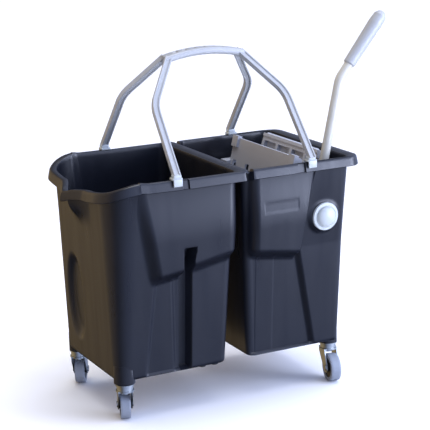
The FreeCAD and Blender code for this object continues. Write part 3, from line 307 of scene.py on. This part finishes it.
def water_relief(x, y, z, outward):
    """Raised and sunk panels of the clear-water tub, as distance out from the plain wall."""
    lower = -4.6 * ease((x - slant(z, -156, 224, -171, 78)) / 11)
    lower -= 3.4 * ease((x - slant(z, -124, 224, -120, 78)) / 9)
    lower += 8 * ease((x + 93) / 6)
    slot = ease((x + 108) / 2.5) * (1 - ease((x + 93) / 5))
    upper = ease((x - slant(z, -190, 374, -163, 226)) / 22)
    foot = np.where(x < -97, 219 + (x + 158) * 0.12, 233 + (x + 88) * 0.18)
    upper = upper * ease((z - foot) / 19)
    swell = 12.5 - 7.5 * ease((z - 290) / 95)
    sides = lower * (1 - upper) + swell * upper
    wide_slot = ease((x + 108) / 2.5) * (1 - ease((x + slant(z, 88, 279, 96, 236)) / 4))
    cut = np.maximum(slot * ease((262 - z) / 10), wide_slot * ease((279 - z) / 5))
    sides = sides * (1 - cut) - 17 * cut
    sides = sides * ease((z - 72) / 3)
    reach_in = (np.abs((y - 44) / 32) ** 2.2 + np.abs((z - 174) / 76) ** 2.2) ** (1 / 2.2)
    end = np.where(x < -180, -8 * ease((1 - reach_in) / 0.3), 0)
    return sides * np.abs(outward[:, 1]) ** 1.5 + end * np.clip(-outward[:, 0], 0, 1) ** 2


def water_lines(z):
    """Columns of the mesh that keep to the edges of the panels and of the slot."""
    flank = np.interp(z, [78, 216, 230, 374], [-171, -156, -163, -188])
    width = np.interp(z, [78, 216, 230, 374], [11, 11, 22, 22])
    second = slant(z, -124, 224, -120, 78)
    return (0.06, 0.21, 0.27, 0.35, 0.39, 0.66), (flank, flank + width, second, second + 9, -108, -86)


def wringer_lines(z):
    """The same for the edge between the panels and the end column."""
    edge = np.interp(z, [78, 236, 250, 372], [128, 98, 99, 123.5])
    width = np.interp(z, [78, 236, 250, 372], [12, 12, 6, 6])
    return (0.2, 0.62, 0.78), (44, edge, edge + width)


def wringer_relief(x, y, z, outward):
    """The same for the wringer tub, with flat pads round the press shaft."""
    column = ease((x - slant(z, 99, 232, 129, 78)) / 11)
    lower = -7 * (1 - column)
    lower -= 0.7 * ease((x - 60) / 2) * (1 - column) - 0.7 * ease((x - 28) / 2) * (1 - column)
    upper = ease((x - 5) / 22) * (1 - ease((x - slant(z, 124, 372, 99, 246)) / 4.5))
    foot = 240 - x * 0.15
    upper = upper * ease((z - foot) / 19)
    swell = 12.5 - 7.5 * ease((z - 290) / 95)
    sides = lower * (1 - upper) + swell * upper
    plate = ease((x - 34) / 1.5) * (1 - ease((x - 96) / 1.5))
    plate = plate * ease((z - 314) / 1.5) * (1 - ease((z - 330) / 1.5))
    sides = sides - 0.35 * plate
    beside = ease((x - slant(z, 124, 372, 99, 246)) / 4.5) * (z > 246)
    sides = sides * (1 - ease((z - 330) / 40) * beside) + beside * np.clip((z - 246) / 142, 0, 1) * 7.5
    away = np.hypot(x - 147.5, z - 294)
    wall_half = 108 + 21 * (z - 71) / 317
    pad = 1 - ease((away - 24) / 5)
    sides = sides * (1 - pad) + np.maximum(sides, 128.9 - wall_half) * pad
    sides = sides * ease((z - 72) / 3)
    return sides * np.abs(outward[:, 1]) ** 1.5


rim_line, _ = ring(*WATER_RIM)
around = np.zeros(len(rim_line))
end_half = 129 - 46
for index, (x, y) in enumerate(rim_line):
    if x <= -225.99:
        around[index] = abs(y)
    elif x < -180 and abs(y) > end_half:
        around[index] = end_half + 46 * math.atan2(abs(y) - end_half, -180 - x)
    else:
        around[index] = end_half + 46 * math.pi / 2 + max(x + 180, 0)
water_dip = np.interp(around, [0, 5, 14, 42, 60, 83, 110, 130, 148, 165, 190, 215],
                      [27, 26.5, 22.5, 19, 18, 15, 11, 4, -1.5, -3, -1, 0])
water_dip[rim_line[:, 0] > -100] = 0
kernel = np.array([1, 2, 3, 2, 1]) / 9
water_dip = np.convolve(np.concatenate([water_dip[-2:], water_dip, water_dip[:2]]), kernel, "valid")
spout_push = 18 * np.clip(1 - around / 44, 0, 1) ** 1.15
spout_push[rim_line[:, 0] > -100] = 0
lip_line, _ = ring(*WATER_LIP)
hook_corner = ((lip_line[:, 0] > 1) & (np.abs(lip_line[:, 1]) > 108)).astype(float)

polypropylene, tree, out = start_material("moulded dark grey polypropylene")
# Semi-matt mould texture: sparkle-fine grain, faint flow clouds, scuffs that catch the light.
where = add(tree, "ShaderNodeTexCoord")
clouds = add(tree, "ShaderNodeTexNoise", inputs={"Vector": where.outputs["Object"], "Scale": 9.0,
                                                 "Detail": 4.0, "Roughness": 0.6})
grain = add(tree, "ShaderNodeTexNoise", inputs={"Vector": where.outputs["Object"], "Scale": 900.0,
                                                "Detail": 2.0})
streak_place = add(tree, "ShaderNodeMapping", inputs={"Vector": where.outputs["Object"],
                                                      "Scale": (60.0, 60.0, 6.0)})
streaks = add(tree, "ShaderNodeTexNoise", inputs={"Vector": streak_place.outputs[0], "Scale": 1.0,
                                                  "Detail": 3.0})
tone = add(tree, "ShaderNodeMix", {"data_type": "RGBA"}, {"Factor": clouds.outputs["Fac"]})
tone.inputs["A"].default_value = linear("#12141b")
tone.inputs["B"].default_value = linear("#1a1d26")
gloss = add(tree, "ShaderNodeMapRange", inputs={"Value": streaks.outputs["Fac"], "From Min": 0.3,
                                                "From Max": 0.7, "To Min": 0.27, "To Max": 0.38})
bump = add(tree, "ShaderNodeBump", inputs={"Strength": 0.12, "Distance": 0.0004,
                                           "Height": grain.outputs["Fac"]})
skin = add(tree, "ShaderNodeBsdfPrincipled", inputs={
    "Base Color": tone.outputs["Result"], "Roughness": gloss.outputs[0], "IOR": 1.49,
    "Normal": bump.outputs[0]})
tree.links.new(skin.outputs[0], out.inputs[0])


def turned_profile(profile, centre, axis="Z", count=40):
    """Closed lathe of (radius, height) pairs about an axis through centre; starts and ends closed."""
    rows = []
    for radius, height in profile:
        angle = 2 * np.pi * np.arange(count) / count
        a, b = np.cos(angle) * radius, np.sin(angle) * radius
        h = np.full(count, float(height))
        layout = {"Z": (a, b, h), "Y": (b, h, a), "-Y": (a, -h, b)}[axis]
        rows.append(np.column_stack(layout) + np.array(centre))
    return loft_rows(rows)


def caster_boss(x, y, limits):
    """Socket under a corner that takes a caster stem, kept flush with the corner of the base."""
    x0, x1, half, radius = limits
    rows = []
    for size, z in ((0.5, 64), (15.6, 64), (17, 65.4), (17, 72), (17, 94), (16, 95), (0.5, 95)):
        angle = 2 * np.pi * np.arange(72) / 72
        spots = np.column_stack([x + size * np.cos(angle), y + size * np.sin(angle)])
        proud = 1.2 if z > 64 else 0.0
        middle = np.array([min(max(x, x0 + radius), x1 - radius), math.copysign(half - radius, y)])
        away = spots - middle
        outer = (away[:, 0] * np.sign(x) > 0) & (away[:, 1] * np.sign(y) > 0)
        far = np.maximum(np.hypot(away[:, 0], away[:, 1]), 1e-6)
        shrink = np.where(outer & (far > radius + proud), (radius + proud) / far, 1)
        spots = middle + away * shrink[:, None]
        spots[:, 0] = np.clip(spots[:, 0], x0 - proud, x1 + proud)
        spots[:, 1] = np.clip(spots[:, 1], -half - proud, half + proud)
        rows.append(np.column_stack([spots, np.full(72, float(z))]))
    return loft_rows(rows)


water_shape = tub((WATER_BASE, WATER_RIM),
                  (WATER_LIP, lambda x, y: np.ones(len(x)), hook_corner, (-109, -99)),
                  water_relief, water_lines, water_dip, spout_push)
feet = [turned_profile([(0.5, 67), (6, 67), (7, 68), (7, 74), (0.5, 74)], (x, y, 0))
        for x in (-63, -41) for y in (-94, 94)]
water_bosses = [caster_boss(-199, y, WATER_BASE[:4]) for y in (-94, 94)]
water_tub = make_piece("water_tub", [water_shape, *water_bosses, *feet], polypropylene, (joint_x, 0, 0))
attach(water_tub, "water_bucket")
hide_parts("left_bucket")

plain_line, _ = ring(*WRINGER_LIP)
under_hook = 4.4 * (1 - ease((plain_line[:, 0] - 12) / 2))
flat_line = np.zeros(len(plain_line))
wringer_shape = tub((WRINGER_BASE, WRINGER_RIM),
                    (WRINGER_LIP, lambda x, y: ease((x - 12.5) / 2), flat_line, (95, 107)),
                    wringer_relief, wringer_lines, under_hook, flat_line)
wringer_bosses = [caster_boss(178, y, (*WRINGER_BASE[:3], WRINGER_BASE[4])) for y in (-87, 87)]
wringer_tub = make_piece("wringer_tub", [wringer_shape, *wringer_bosses], polypropylene, (joint_x, 0, 0))
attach(wringer_tub, "wringer_bucket")
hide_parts("right_bucket")

# ---- Carry handle -------------------------------------------------------------------------
# One silver-grey moulding: four channel-section legs with a knee, running in to an arched hand
# grip with a row of small recesses. Each leg ends in a pale clip snapped over a rim.


def sweep(stops, profile, side):
    """Solid along stops (points in mm); profile is (across, other) pairs square to the path."""
    rows = []
    count = len(stops)
    for index, point in enumerate(stops):
        before = stops[max(index - 1, 0)]
        after = stops[min(index + 1, count - 1)]
        along = (Vector(after) - Vector(before)).normalized()
        across = (Vector(side) - along * Vector(side).dot(along)).normalized()
        other = along.cross(across)
        rows.append(np.array([Vector(point) + across * a + other * b for a, b in profile]))
    return loft_rows(rows)


def knee(start, corner, end, reach, steps=8):
    """Polyline with its one corner rounded off."""
    start, corner, end = Vector(start), Vector(corner), Vector(end)
    first = corner + (start - corner).normalized() * reach
    last = corner + (end - corner).normalized() * reach
    path = [start, start.lerp(first, 0.33), start.lerp(first, 0.66)]
    for step in range(steps + 1):
        t = step / steps
        path.append(first * (1 - t) ** 2 + corner * (2 * t * (1 - t)) + last * t ** 2)
    return path + [last.lerp(end, 0.5), end]


channel = [(-5.2, -4.4), (5.2, -4.4), (5.7, -3.8), (5.7, 3.9), (5.2, 4.5), (3.6, 4.5), (3.2, 4.1),
           (2.8, 2.6),
           (-2.8, 2.6), (-3.2, 4.1), (-3.6, 4.5), (-5.2, 4.5), (-5.7, 3.9), (-5.7, -3.8)]
handle_parts = []
for sx in (-1, 1):
    for sy in (-1, 1):
        path = knee((sx * 119, sy * 139, 394), (sx * 116, sy * 60, 491), (sx * 64, sy * 7, 553.5), 17)
        outline = [(a * sx * sy, b) for a, b in channel]
        if sx * sy < 0:
            outline = outline[::-1]
        outline = [(a, -b) for a, b in outline][::-1]
        handle_parts.append(sweep(path, outline, (1, 0, 0)))
grip_half, recess_step, recess_long, recess_wide = 69.5, 16.0, 9.0, 9.0
grip_rows = []
for share in np.linspace(-1, 1, 141):
    along = Vector((grip_half, 0, -18 * share)).normalized()
    middle = Vector((grip_half * share, 0, 560 - 9 * share * share))
    up = Vector((0, 1, 0)).cross(along) * -1
    off = abs((middle.x + recess_step / 2) % recess_step - recess_step / 2)
    inside = float(ease((recess_long / 2 - off) / 1.0)) * (abs(middle.x) < 3.5 * recess_step)
    row = []
    for step in range(48):
        angle = 2 * math.pi * step / 48
        a = 12.5 * math.copysign(abs(math.cos(angle)) ** 0.55, math.cos(angle))
        b = 6 * math.copysign(abs(math.sin(angle)) ** 0.6, math.sin(angle))
        if b > 4:
            b -= 3.6 * inside * float(ease((recess_wide / 2 - abs(a)) / 1.2))
        row.append(middle + Vector((0, 1, 0)) * a + up * b)
    grip_rows.append(np.array(row))
handle_parts.append(loft_rows(grip_rows[::-1]))

silver_plastic, tree, out = start_material("silver-grey moulded ABS")
# Smooth satin shell: clean broad highlights, very faint metallic flake and mould grain.
where = add(tree, "ShaderNodeTexCoord")
flake = add(tree, "ShaderNodeTexNoise", inputs={"Vector": where.outputs["Object"], "Scale": 1400.0,
                                                "Detail": 1.0})
haze = add(tree, "ShaderNodeTexNoise", inputs={"Vector": where.outputs["Object"], "Scale": 22.0,
                                               "Detail": 3.0})
tone = add(tree, "ShaderNodeMix", {"data_type": "RGBA"}, {"Factor": haze.outputs["Fac"]})
tone.inputs["A"].default_value = linear("#9a9c9e")
tone.inputs["B"].default_value = linear("#abadae")
gloss = add(tree, "ShaderNodeMapRange", inputs={"Value": haze.outputs["Fac"], "To Min": 0.3,
                                                "To Max": 0.42})
bump = add(tree, "ShaderNodeBump", inputs={"Strength": 0.08, "Distance": 0.0002,
                                           "Height": flake.outputs["Fac"]})
skin = add(tree, "ShaderNodeBsdfPrincipled", inputs={
    "Base Color": tone.outputs["Result"], "Roughness": gloss.outputs[0], "IOR": 1.53,
    "Normal": bump.outputs[0]})
tree.links.new(skin.outputs[0], out.inputs[0])

handle = make_piece("handle_frame", handle_parts, silver_plastic, (joint_x, 0, 0), 35)
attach(handle, "handle")
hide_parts("carry_handle")

# ---- Rim clips ----------------------------------------------------------------------------
# Pale snap feet on the ends of the handle legs: a flared pad on the rim with a short tongue
# hooked over its edge. Moulded in the same plastic family as the handle, a shade lighter.


def rounded_block(low, high, edge):
    """Block between two corners with its edges taken off by a small radius, as loft rows in Z."""
    (x0, y0, z0), (x1, y1, z1) = low, high
    rows = []
    for z, inset in ((z0, edge), (z0 + edge * 0.3, edge * 0.3), (z0 + edge, 0), (z1 - edge, 0),
                     (z1 - edge * 0.3, edge * 0.3), (z1, edge)):
        row = []
        for cx, cy, turn in ((x1, y0, -90), (x1, y1, 0), (x0, y1, 90), (x0, y0, 180)):
            sx, sy = (1 if cx == x1 else -1), (1 if cy == y1 else -1)
            for step in range(5):
                angle = math.radians(turn + 90 * step / 4)
                row.append((cx - sx * (edge + inset) + edge * math.cos(angle),
                            cy - sy * (edge + inset) + edge * math.sin(angle), z))
        rows.append(np.array(row))
    return loft_rows(rows)


pale_plastic, tree, out = start_material("pale grey moulded ABS")
# The lightest plastic on the unit: satin, even, with soft rounded highlights and fine mould grain.
where = add(tree, "ShaderNodeTexCoord")
grain = add(tree, "ShaderNodeTexNoise", inputs={"Vector": where.outputs["Object"], "Scale": 1100.0,
                                                "Detail": 2.0})
haze = add(tree, "ShaderNodeTexNoise", inputs={"Vector": where.outputs["Object"], "Scale": 30.0,
                                               "Detail": 3.0})
tone = add(tree, "ShaderNodeMix", {"data_type": "RGBA"}, {"Factor": haze.outputs["Fac"]})
tone.inputs["A"].default_value = linear("#a6acad")
tone.inputs["B"].default_value = linear("#b5bbbc")
bump = add(tree, "ShaderNodeBump", inputs={"Strength": 0.08, "Distance": 0.0002,
                                           "Height": grain.outputs["Fac"]})
gloss = add(tree, "ShaderNodeMapRange", inputs={"Value": haze.outputs["Fac"], "To Min": 0.28,
                                                "To Max": 0.4})
skin = add(tree, "ShaderNodeBsdfPrincipled", inputs={
    "Base Color": tone.outputs["Result"], "Roughness": gloss.outputs[0], "IOR": 1.53,
    "Normal": bump.outputs[0]})
tree.links.new(skin.outputs[0], out.inputs[0])

for name, sx, sy, edge in (("front_left", -1, -1, 141), ("front_right", 1, -1, 139),
                           ("back_left", -1, 1, 141), ("back_right", 1, 1, 139)):
    x = sx * 119
    spans = sorted((sy * (edge - 12.5), sy * (edge + 1.6)))
    tongue = sorted((sy * (edge + 0.5), sy * (edge + 2.8)))
    collar = sorted((sy * (edge - 9.5), sy * (edge + 1.0)))
    clip = make_piece(f"clip_{name}", [
        rounded_block((x - 8.2, spans[0], 388.3), (x + 8.2, spans[1], 392.4), 1.4),
        rounded_block((x - 7.4, tongue[0], 379), (x + 7.4, tongue[1], 391), 1.0),
        rounded_block((x - 6.6, collar[0], 390.5), (x + 6.6, collar[1], 397.5), 1.5),
    ], pale_plastic, (joint_x, 0, 0))
    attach(clip, "handle")
    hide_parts(f"foot_{name}")

# ---- Shaft caps ---------------------------------------------------------------------------
# Round push-on caps that cover the two ends of the press shaft: a thin flat flange with a large
# smooth dome in the middle, turned towards the outside of the wringer tub.
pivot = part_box("press_shaft")
pivot_x = (pivot[0].x + pivot[1].x) * 500
pivot_z = (pivot[0].z + pivot[1].z) * 500
dome = [(0.4, 129.1), (22.4, 129.1), (23, 129.8), (23, 132.6), (22.2, 133.6), (18.2, 133.9), (17.4, 133.2),
        (16.8, 133.4)]
dome += [(16.6 * math.cos(math.radians(a)), 134 + 8.6 * math.sin(math.radians(a))) for a in range(6, 89, 6)]
dome.append((0.3, 142.6))
for side, axis in (("front", "-Y"), ("back", "Y")):
    cover = turned_profile(dome, (pivot_x, 0, pivot_z), axis, 64)
    cap = make_piece(f"shaft_cover_{side}", [cover], pale_plastic)
    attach(cap, "wringer_bucket")
    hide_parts(f"shaft_cap_{side}")

# ---- Wringer jaws -------------------------------------------------------------------------
# Two jaws moulded in warm grey polypropylene: a fixed perforated plate with a rolled top edge, and
# a pocketed jaw fixed on the steel shaft, with a serrated strip along its top.
warm_plastic, tree, out = start_material("warm grey moulded polypropylene")
# Matt and slightly chalky, with faint flow marks and a dusty wear bloom on raised faces.
where = add(tree, "ShaderNodeTexCoord")
flow_place = add(tree, "ShaderNodeMapping", inputs={"Vector": where.outputs["Object"],
                                                    "Scale": (40.0, 12.0, 40.0)})
flow = add(tree, "ShaderNodeTexNoise", inputs={"Vector": flow_place.outputs[0], "Scale": 1.0,
                                               "Detail": 4.0})
grain = add(tree, "ShaderNodeTexNoise", inputs={"Vector": where.outputs["Object"], "Scale": 800.0,
                                                "Detail": 2.0})
tone = add(tree, "ShaderNodeMix", {"data_type": "RGBA"}, {"Factor": flow.outputs["Fac"]})
tone.inputs["A"].default_value = linear("#a3a5ab")
tone.inputs["B"].default_value = linear("#b1b3b9")
gloss = add(tree, "ShaderNodeMapRange", inputs={"Value": flow.outputs["Fac"], "To Min": 0.42,
                                                "To Max": 0.55})
bump = add(tree, "ShaderNodeBump", inputs={"Strength": 0.12, "Distance": 0.0003,
                                           "Height": grain.outputs["Fac"]})
skin = add(tree, "ShaderNodeBsdfPrincipled", inputs={
    "Base Color": tone.outputs["Result"], "Roughness": gloss.outputs[0], "IOR": 1.49,
    "Normal": bump.outputs[0]})
tree.links.new(skin.outputs[0], out.inputs[0])


def finish_node(node, material):
    """Gives every slot of a CAD node one material."""
    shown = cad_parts[node]
    if not shown.material_slots:
        shown.data.materials.append(material)
    for slot in shown.material_slots:
        slot.material = material


for node in ("fixed_jaw", "press_jaw", "lever_socket"):
    finish_node(node, warm_plastic)

# ---- Serrated strip -----------------------------------------------------------------------
# Small ridges moulded in one with the press jaw, side by side along its top edge, that hold the
# mop while it is pressed. Drawn coarser than the real ones, which run together from a step away.


def node_tree(name, sizes):
    """Empty geometry node group with named number inputs; returns the group and its two end nodes."""
    group = bpy.data.node_groups.new(name, "GeometryNodeTree")
    group.interface.new_socket("Geometry", in_out="INPUT", socket_type="NodeSocketGeometry")
    group.interface.new_socket("Geometry", in_out="OUTPUT", socket_type="NodeSocketGeometry")
    for label in sizes:
        group.interface.new_socket(label, in_out="INPUT", socket_type="NodeSocketFloat")
    return group, group.nodes.new("NodeGroupInput"), group.nodes.new("NodeGroupOutput")


def run_nodes(name, group, sizes, transform):
    """Evaluates a node group once with these sizes and returns the result as a plain mesh object."""
    holder = bpy.data.objects.new(name + "_holder", bpy.data.meshes.new(name + "_holder"))
    bpy.context.scene.collection.objects.link(holder)
    modifier = holder.modifiers.new("shape", "NODES")
    modifier.node_group = group
    for item in group.interface.items_tree:
        if item.in_out == "INPUT" and item.name in sizes:
            modifier[item.identifier] = sizes[item.name]
    evaluated = holder.evaluated_get(bpy.context.evaluated_depsgraph_get())
    mesh = bpy.data.meshes.new_from_object(evaluated)
    mesh.transform(transform)
    mesh.name = name
    bpy.data.objects.remove(holder)
    piece = bpy.data.objects.new(name, mesh)
    bpy.context.scene.collection.objects.link(piece)
    return piece


group, given, result = node_tree("ridges", ("Length", "Pitch", "Ridge width", "Ridge height",
                                            "Ridge depth"))
count = add(group, "ShaderNodeMath", {"operation": "DIVIDE"},
            {0: given.outputs["Length"], 1: given.outputs["Pitch"]})
step = add(group, "ShaderNodeCombineXYZ", inputs={"Y": given.outputs["Pitch"]})
line = add(group, "GeometryNodeMeshLine", {"mode": "OFFSET"},
           {"Count": count.outputs[0], "Offset": step.outputs[0]})
girth = add(group, "ShaderNodeCombineXYZ", inputs={
    "X": given.outputs["Ridge depth"], "Y": given.outputs["Ridge width"],
    "Z": given.outputs["Ridge height"]})
ridge = add(group, "GeometryNodeMeshCone", inputs={
    "Vertices": 4, "Radius Top": 0.42, "Radius Bottom": 0.7, "Depth": 1.0})
turned_ridge = add(group, "GeometryNodeTransform", inputs={
    "Geometry": ridge.outputs["Mesh"], "Rotation": (0.0, 0.0, math.pi / 4)})
scattered = add(group, "GeometryNodeInstanceOnPoints", inputs={
    "Points": line.outputs["Mesh"], "Instance": turned_ridge.outputs[0], "Scale": girth.outputs[0]})
solid = add(group, "GeometryNodeRealizeInstances", inputs={"Geometry": scattered.outputs[0]})
painted = add(group, "GeometryNodeSetMaterial", inputs={"Geometry": solid.outputs[0],
                                                        "Material": warm_plastic})
group.links.new(painted.outputs[0], result.inputs["Geometry"])
lean = math.radians(13 + 7)
strip_length = 0.16
jaw_place = (Matrix.Translation((pivot_x * MM, 0, pivot_z * MM)) @ Matrix.Rotation(lean, 4, "Y")
             @ Matrix.Translation((-0.0104, -0.066, 0.0984)))
ridges = run_nodes("press_jaw_ridges", group, {
    "Length": strip_length, "Pitch": 0.005, "Ridge width": 0.0026, "Ridge height": 0.0016,
    "Ridge depth": 0.0105,
}, jaw_place)
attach(ridges, "press_lever")

# ---- Lever --------------------------------------------------------------------------------
# Bent steel tube with an off-white powder coat, standing in the socket of the press jaw, and a
# pushed-on grey grip that swells towards its tip.
powder_coat, tree, out = start_material("off-white powder coated steel")
# Fine orange peel in the coat, a little warmer and duller where hands and mop water reach it.
where = add(tree, "ShaderNodeTexCoord")
peel = add(tree, "ShaderNodeTexNoise", inputs={"Vector": where.outputs["Object"], "Scale": 420.0,
                                               "Detail": 2.0})
stain = add(tree, "ShaderNodeTexNoise", inputs={"Vector": where.outputs["Object"], "Scale": 18.0,
                                                "Detail": 4.0})
tone = add(tree, "ShaderNodeMix", {"data_type": "RGBA"}, {"Factor": stain.outputs["Fac"]})
tone.inputs["A"].default_value = linear("#b3b0a4")
tone.inputs["B"].default_value = linear("#c4c1b6")
bump = add(tree, "ShaderNodeBump", inputs={"Strength": 0.15, "Distance": 0.0003,
                                           "Height": peel.outputs["Fac"]})
skin = add(tree, "ShaderNodeBsdfPrincipled", inputs={
    "Base Color": tone.outputs["Result"], "Roughness": 0.36, "IOR": 1.5, "Normal": bump.outputs[0]})
tree.links.new(skin.outputs[0], out.inputs[0])
finish_node("lever_tube", powder_coat)
finish_node("lever_grip", silver_plastic)

# ---- Steel and caster parts ---------------------------------------------------------------
# Plain turned steel shaft and bolt, and a return spring wound from wire round the shaft.
# Zinc-plated caster stems, races and pressed forks; black nylon hubs under grey thermoplastic
# tyres; white nylon bushes in the wall.


def metal(name, dark, light, rough_low, rough_high, streak):
    """Bare or plated metal with fine directional marks; streak is the pattern scale per axis."""
    material, tree, out = start_material(name)
    where = add(tree, "ShaderNodeTexCoord")
    place = add(tree, "ShaderNodeMapping", inputs={"Vector": where.outputs["Object"], "Scale": streak})
    marks = add(tree, "ShaderNodeTexNoise", inputs={"Vector": place.outputs[0], "Scale": 1.0,
                                                    "Detail": 4.0})
    tone = add(tree, "ShaderNodeMix", {"data_type": "RGBA"}, {"Factor": marks.outputs["Fac"]})
    tone.inputs["A"].default_value = linear(dark)
    tone.inputs["B"].default_value = linear(light)
    gloss = add(tree, "ShaderNodeMapRange", inputs={
        "Value": marks.outputs["Fac"], "To Min": rough_low, "To Max": rough_high})
    skin = add(tree, "ShaderNodeBsdfPrincipled", inputs={
        "Base Color": tone.outputs["Result"], "Roughness": gloss.outputs[0], "Metallic": 1.0})
    tree.links.new(skin.outputs[0], out.inputs[0])
    return material


turned_steel = metal("turned bright steel", "#8f9194", "#b9bbbd", 0.22, 0.4, (30.0, 700.0, 30.0))
zinc_plate = metal("zinc plated pressed steel", "#a5abad", "#ced3d4", 0.25, 0.5, (120.0, 120.0, 120.0))
for node in ("press_shaft", "lever_bolt"):
    finish_node(node, turned_steel)

spring_low, spring_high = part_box("return_spring")
wire_thick, spring_pitch = 0.0014, 0.0019
group, given, result = node_tree("coil", ("Radius", "Length", "Turns", "Wire radius"))
helix = add(group, "GeometryNodeCurveSpiral", inputs={
    "Resolution": 40, "Rotations": given.outputs["Turns"], "Start Radius": given.outputs["Radius"],
    "End Radius": given.outputs["Radius"], "Height": given.outputs["Length"]})
gauge = add(group, "GeometryNodeCurvePrimitiveCircle", inputs={"Resolution": 12,
                                                               "Radius": given.outputs["Wire radius"]})
wound = add(group, "GeometryNodeCurveToMesh", inputs={
    "Curve": helix.outputs[0], "Profile Curve": gauge.outputs[0], "Fill Caps": True})
solid = add(group, "GeometryNodeRealizeInstances", inputs={"Geometry": wound.outputs[0]})
painted = add(group, "GeometryNodeSetMaterial", inputs={"Geometry": solid.outputs[0],
                                                        "Material": turned_steel})
group.links.new(painted.outputs[0], result.inputs["Geometry"])
wound_length = spring_high.y - spring_low.y - wire_thick
coil_place = (Matrix.Translation((pivot_x * MM, spring_low.y + wire_thick / 2, pivot_z * MM))
              @ Matrix.Rotation(math.radians(-90), 4, "X"))
spring = run_nodes("spring_winding", group, {
    "Radius": (spring_high.x - spring_low.x - wire_thick) / 2, "Length": wound_length,
    "Turns": wound_length / spring_pitch, "Wire radius": wire_thick / 2}, coil_place)
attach(spring, "wringer_bucket")
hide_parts("return_spring")


def soft_plastic(name, dark, light, rough, scale):
    """Matt moulded plastic or rubber: two close tones and a fine grain of the given scale."""
    material, tree, out = start_material(name)
    where = add(tree, "ShaderNodeTexCoord")
    cloud = add(tree, "ShaderNodeTexNoise", inputs={"Vector": where.outputs["Object"], "Scale": 55.0,
                                                    "Detail": 4.0})
    grain = add(tree, "ShaderNodeTexNoise", inputs={"Vector": where.outputs["Object"], "Scale": scale,
                                                    "Detail": 2.0})
    tone = add(tree, "ShaderNodeMix", {"data_type": "RGBA"}, {"Factor": cloud.outputs["Fac"]})
    tone.inputs["A"].default_value = linear(dark)
    tone.inputs["B"].default_value = linear(light)
    bump = add(tree, "ShaderNodeBump", inputs={"Strength": 0.2, "Distance": 0.0003,
                                               "Height": grain.outputs["Fac"]})
    skin = add(tree, "ShaderNodeBsdfPrincipled", inputs={
        "Base Color": tone.outputs["Result"], "Roughness": rough, "IOR": 1.5, "Normal": bump.outputs[0]})
    tree.links.new(skin.outputs[0], out.inputs[0])
    return material


tyre_rubber = soft_plastic("grey thermoplastic rubber", "#767c86", "#8e95a1", 0.6, 500.0)
black_nylon = soft_plastic("black moulded nylon", "#0c0c0d", "#161617", 0.45, 700.0)
white_nylon = soft_plastic("white moulded nylon", "#c4c3bd", "#d3d2cc", 0.4, 700.0)
for node in ("shaft_bush_front", "shaft_bush_back"):
    finish_node(node, white_nylon)
for corner in ("fl", "bl", "fr", "br"):
    for part, material in (("stem", zinc_plate), ("race", zinc_plate), ("fork", zinc_plate),
                           ("axle", turned_steel),
                           ("hub", black_nylon), ("tyre", tyre_rubber)):
        finish_node(f"caster_{corner}_{part}", material)
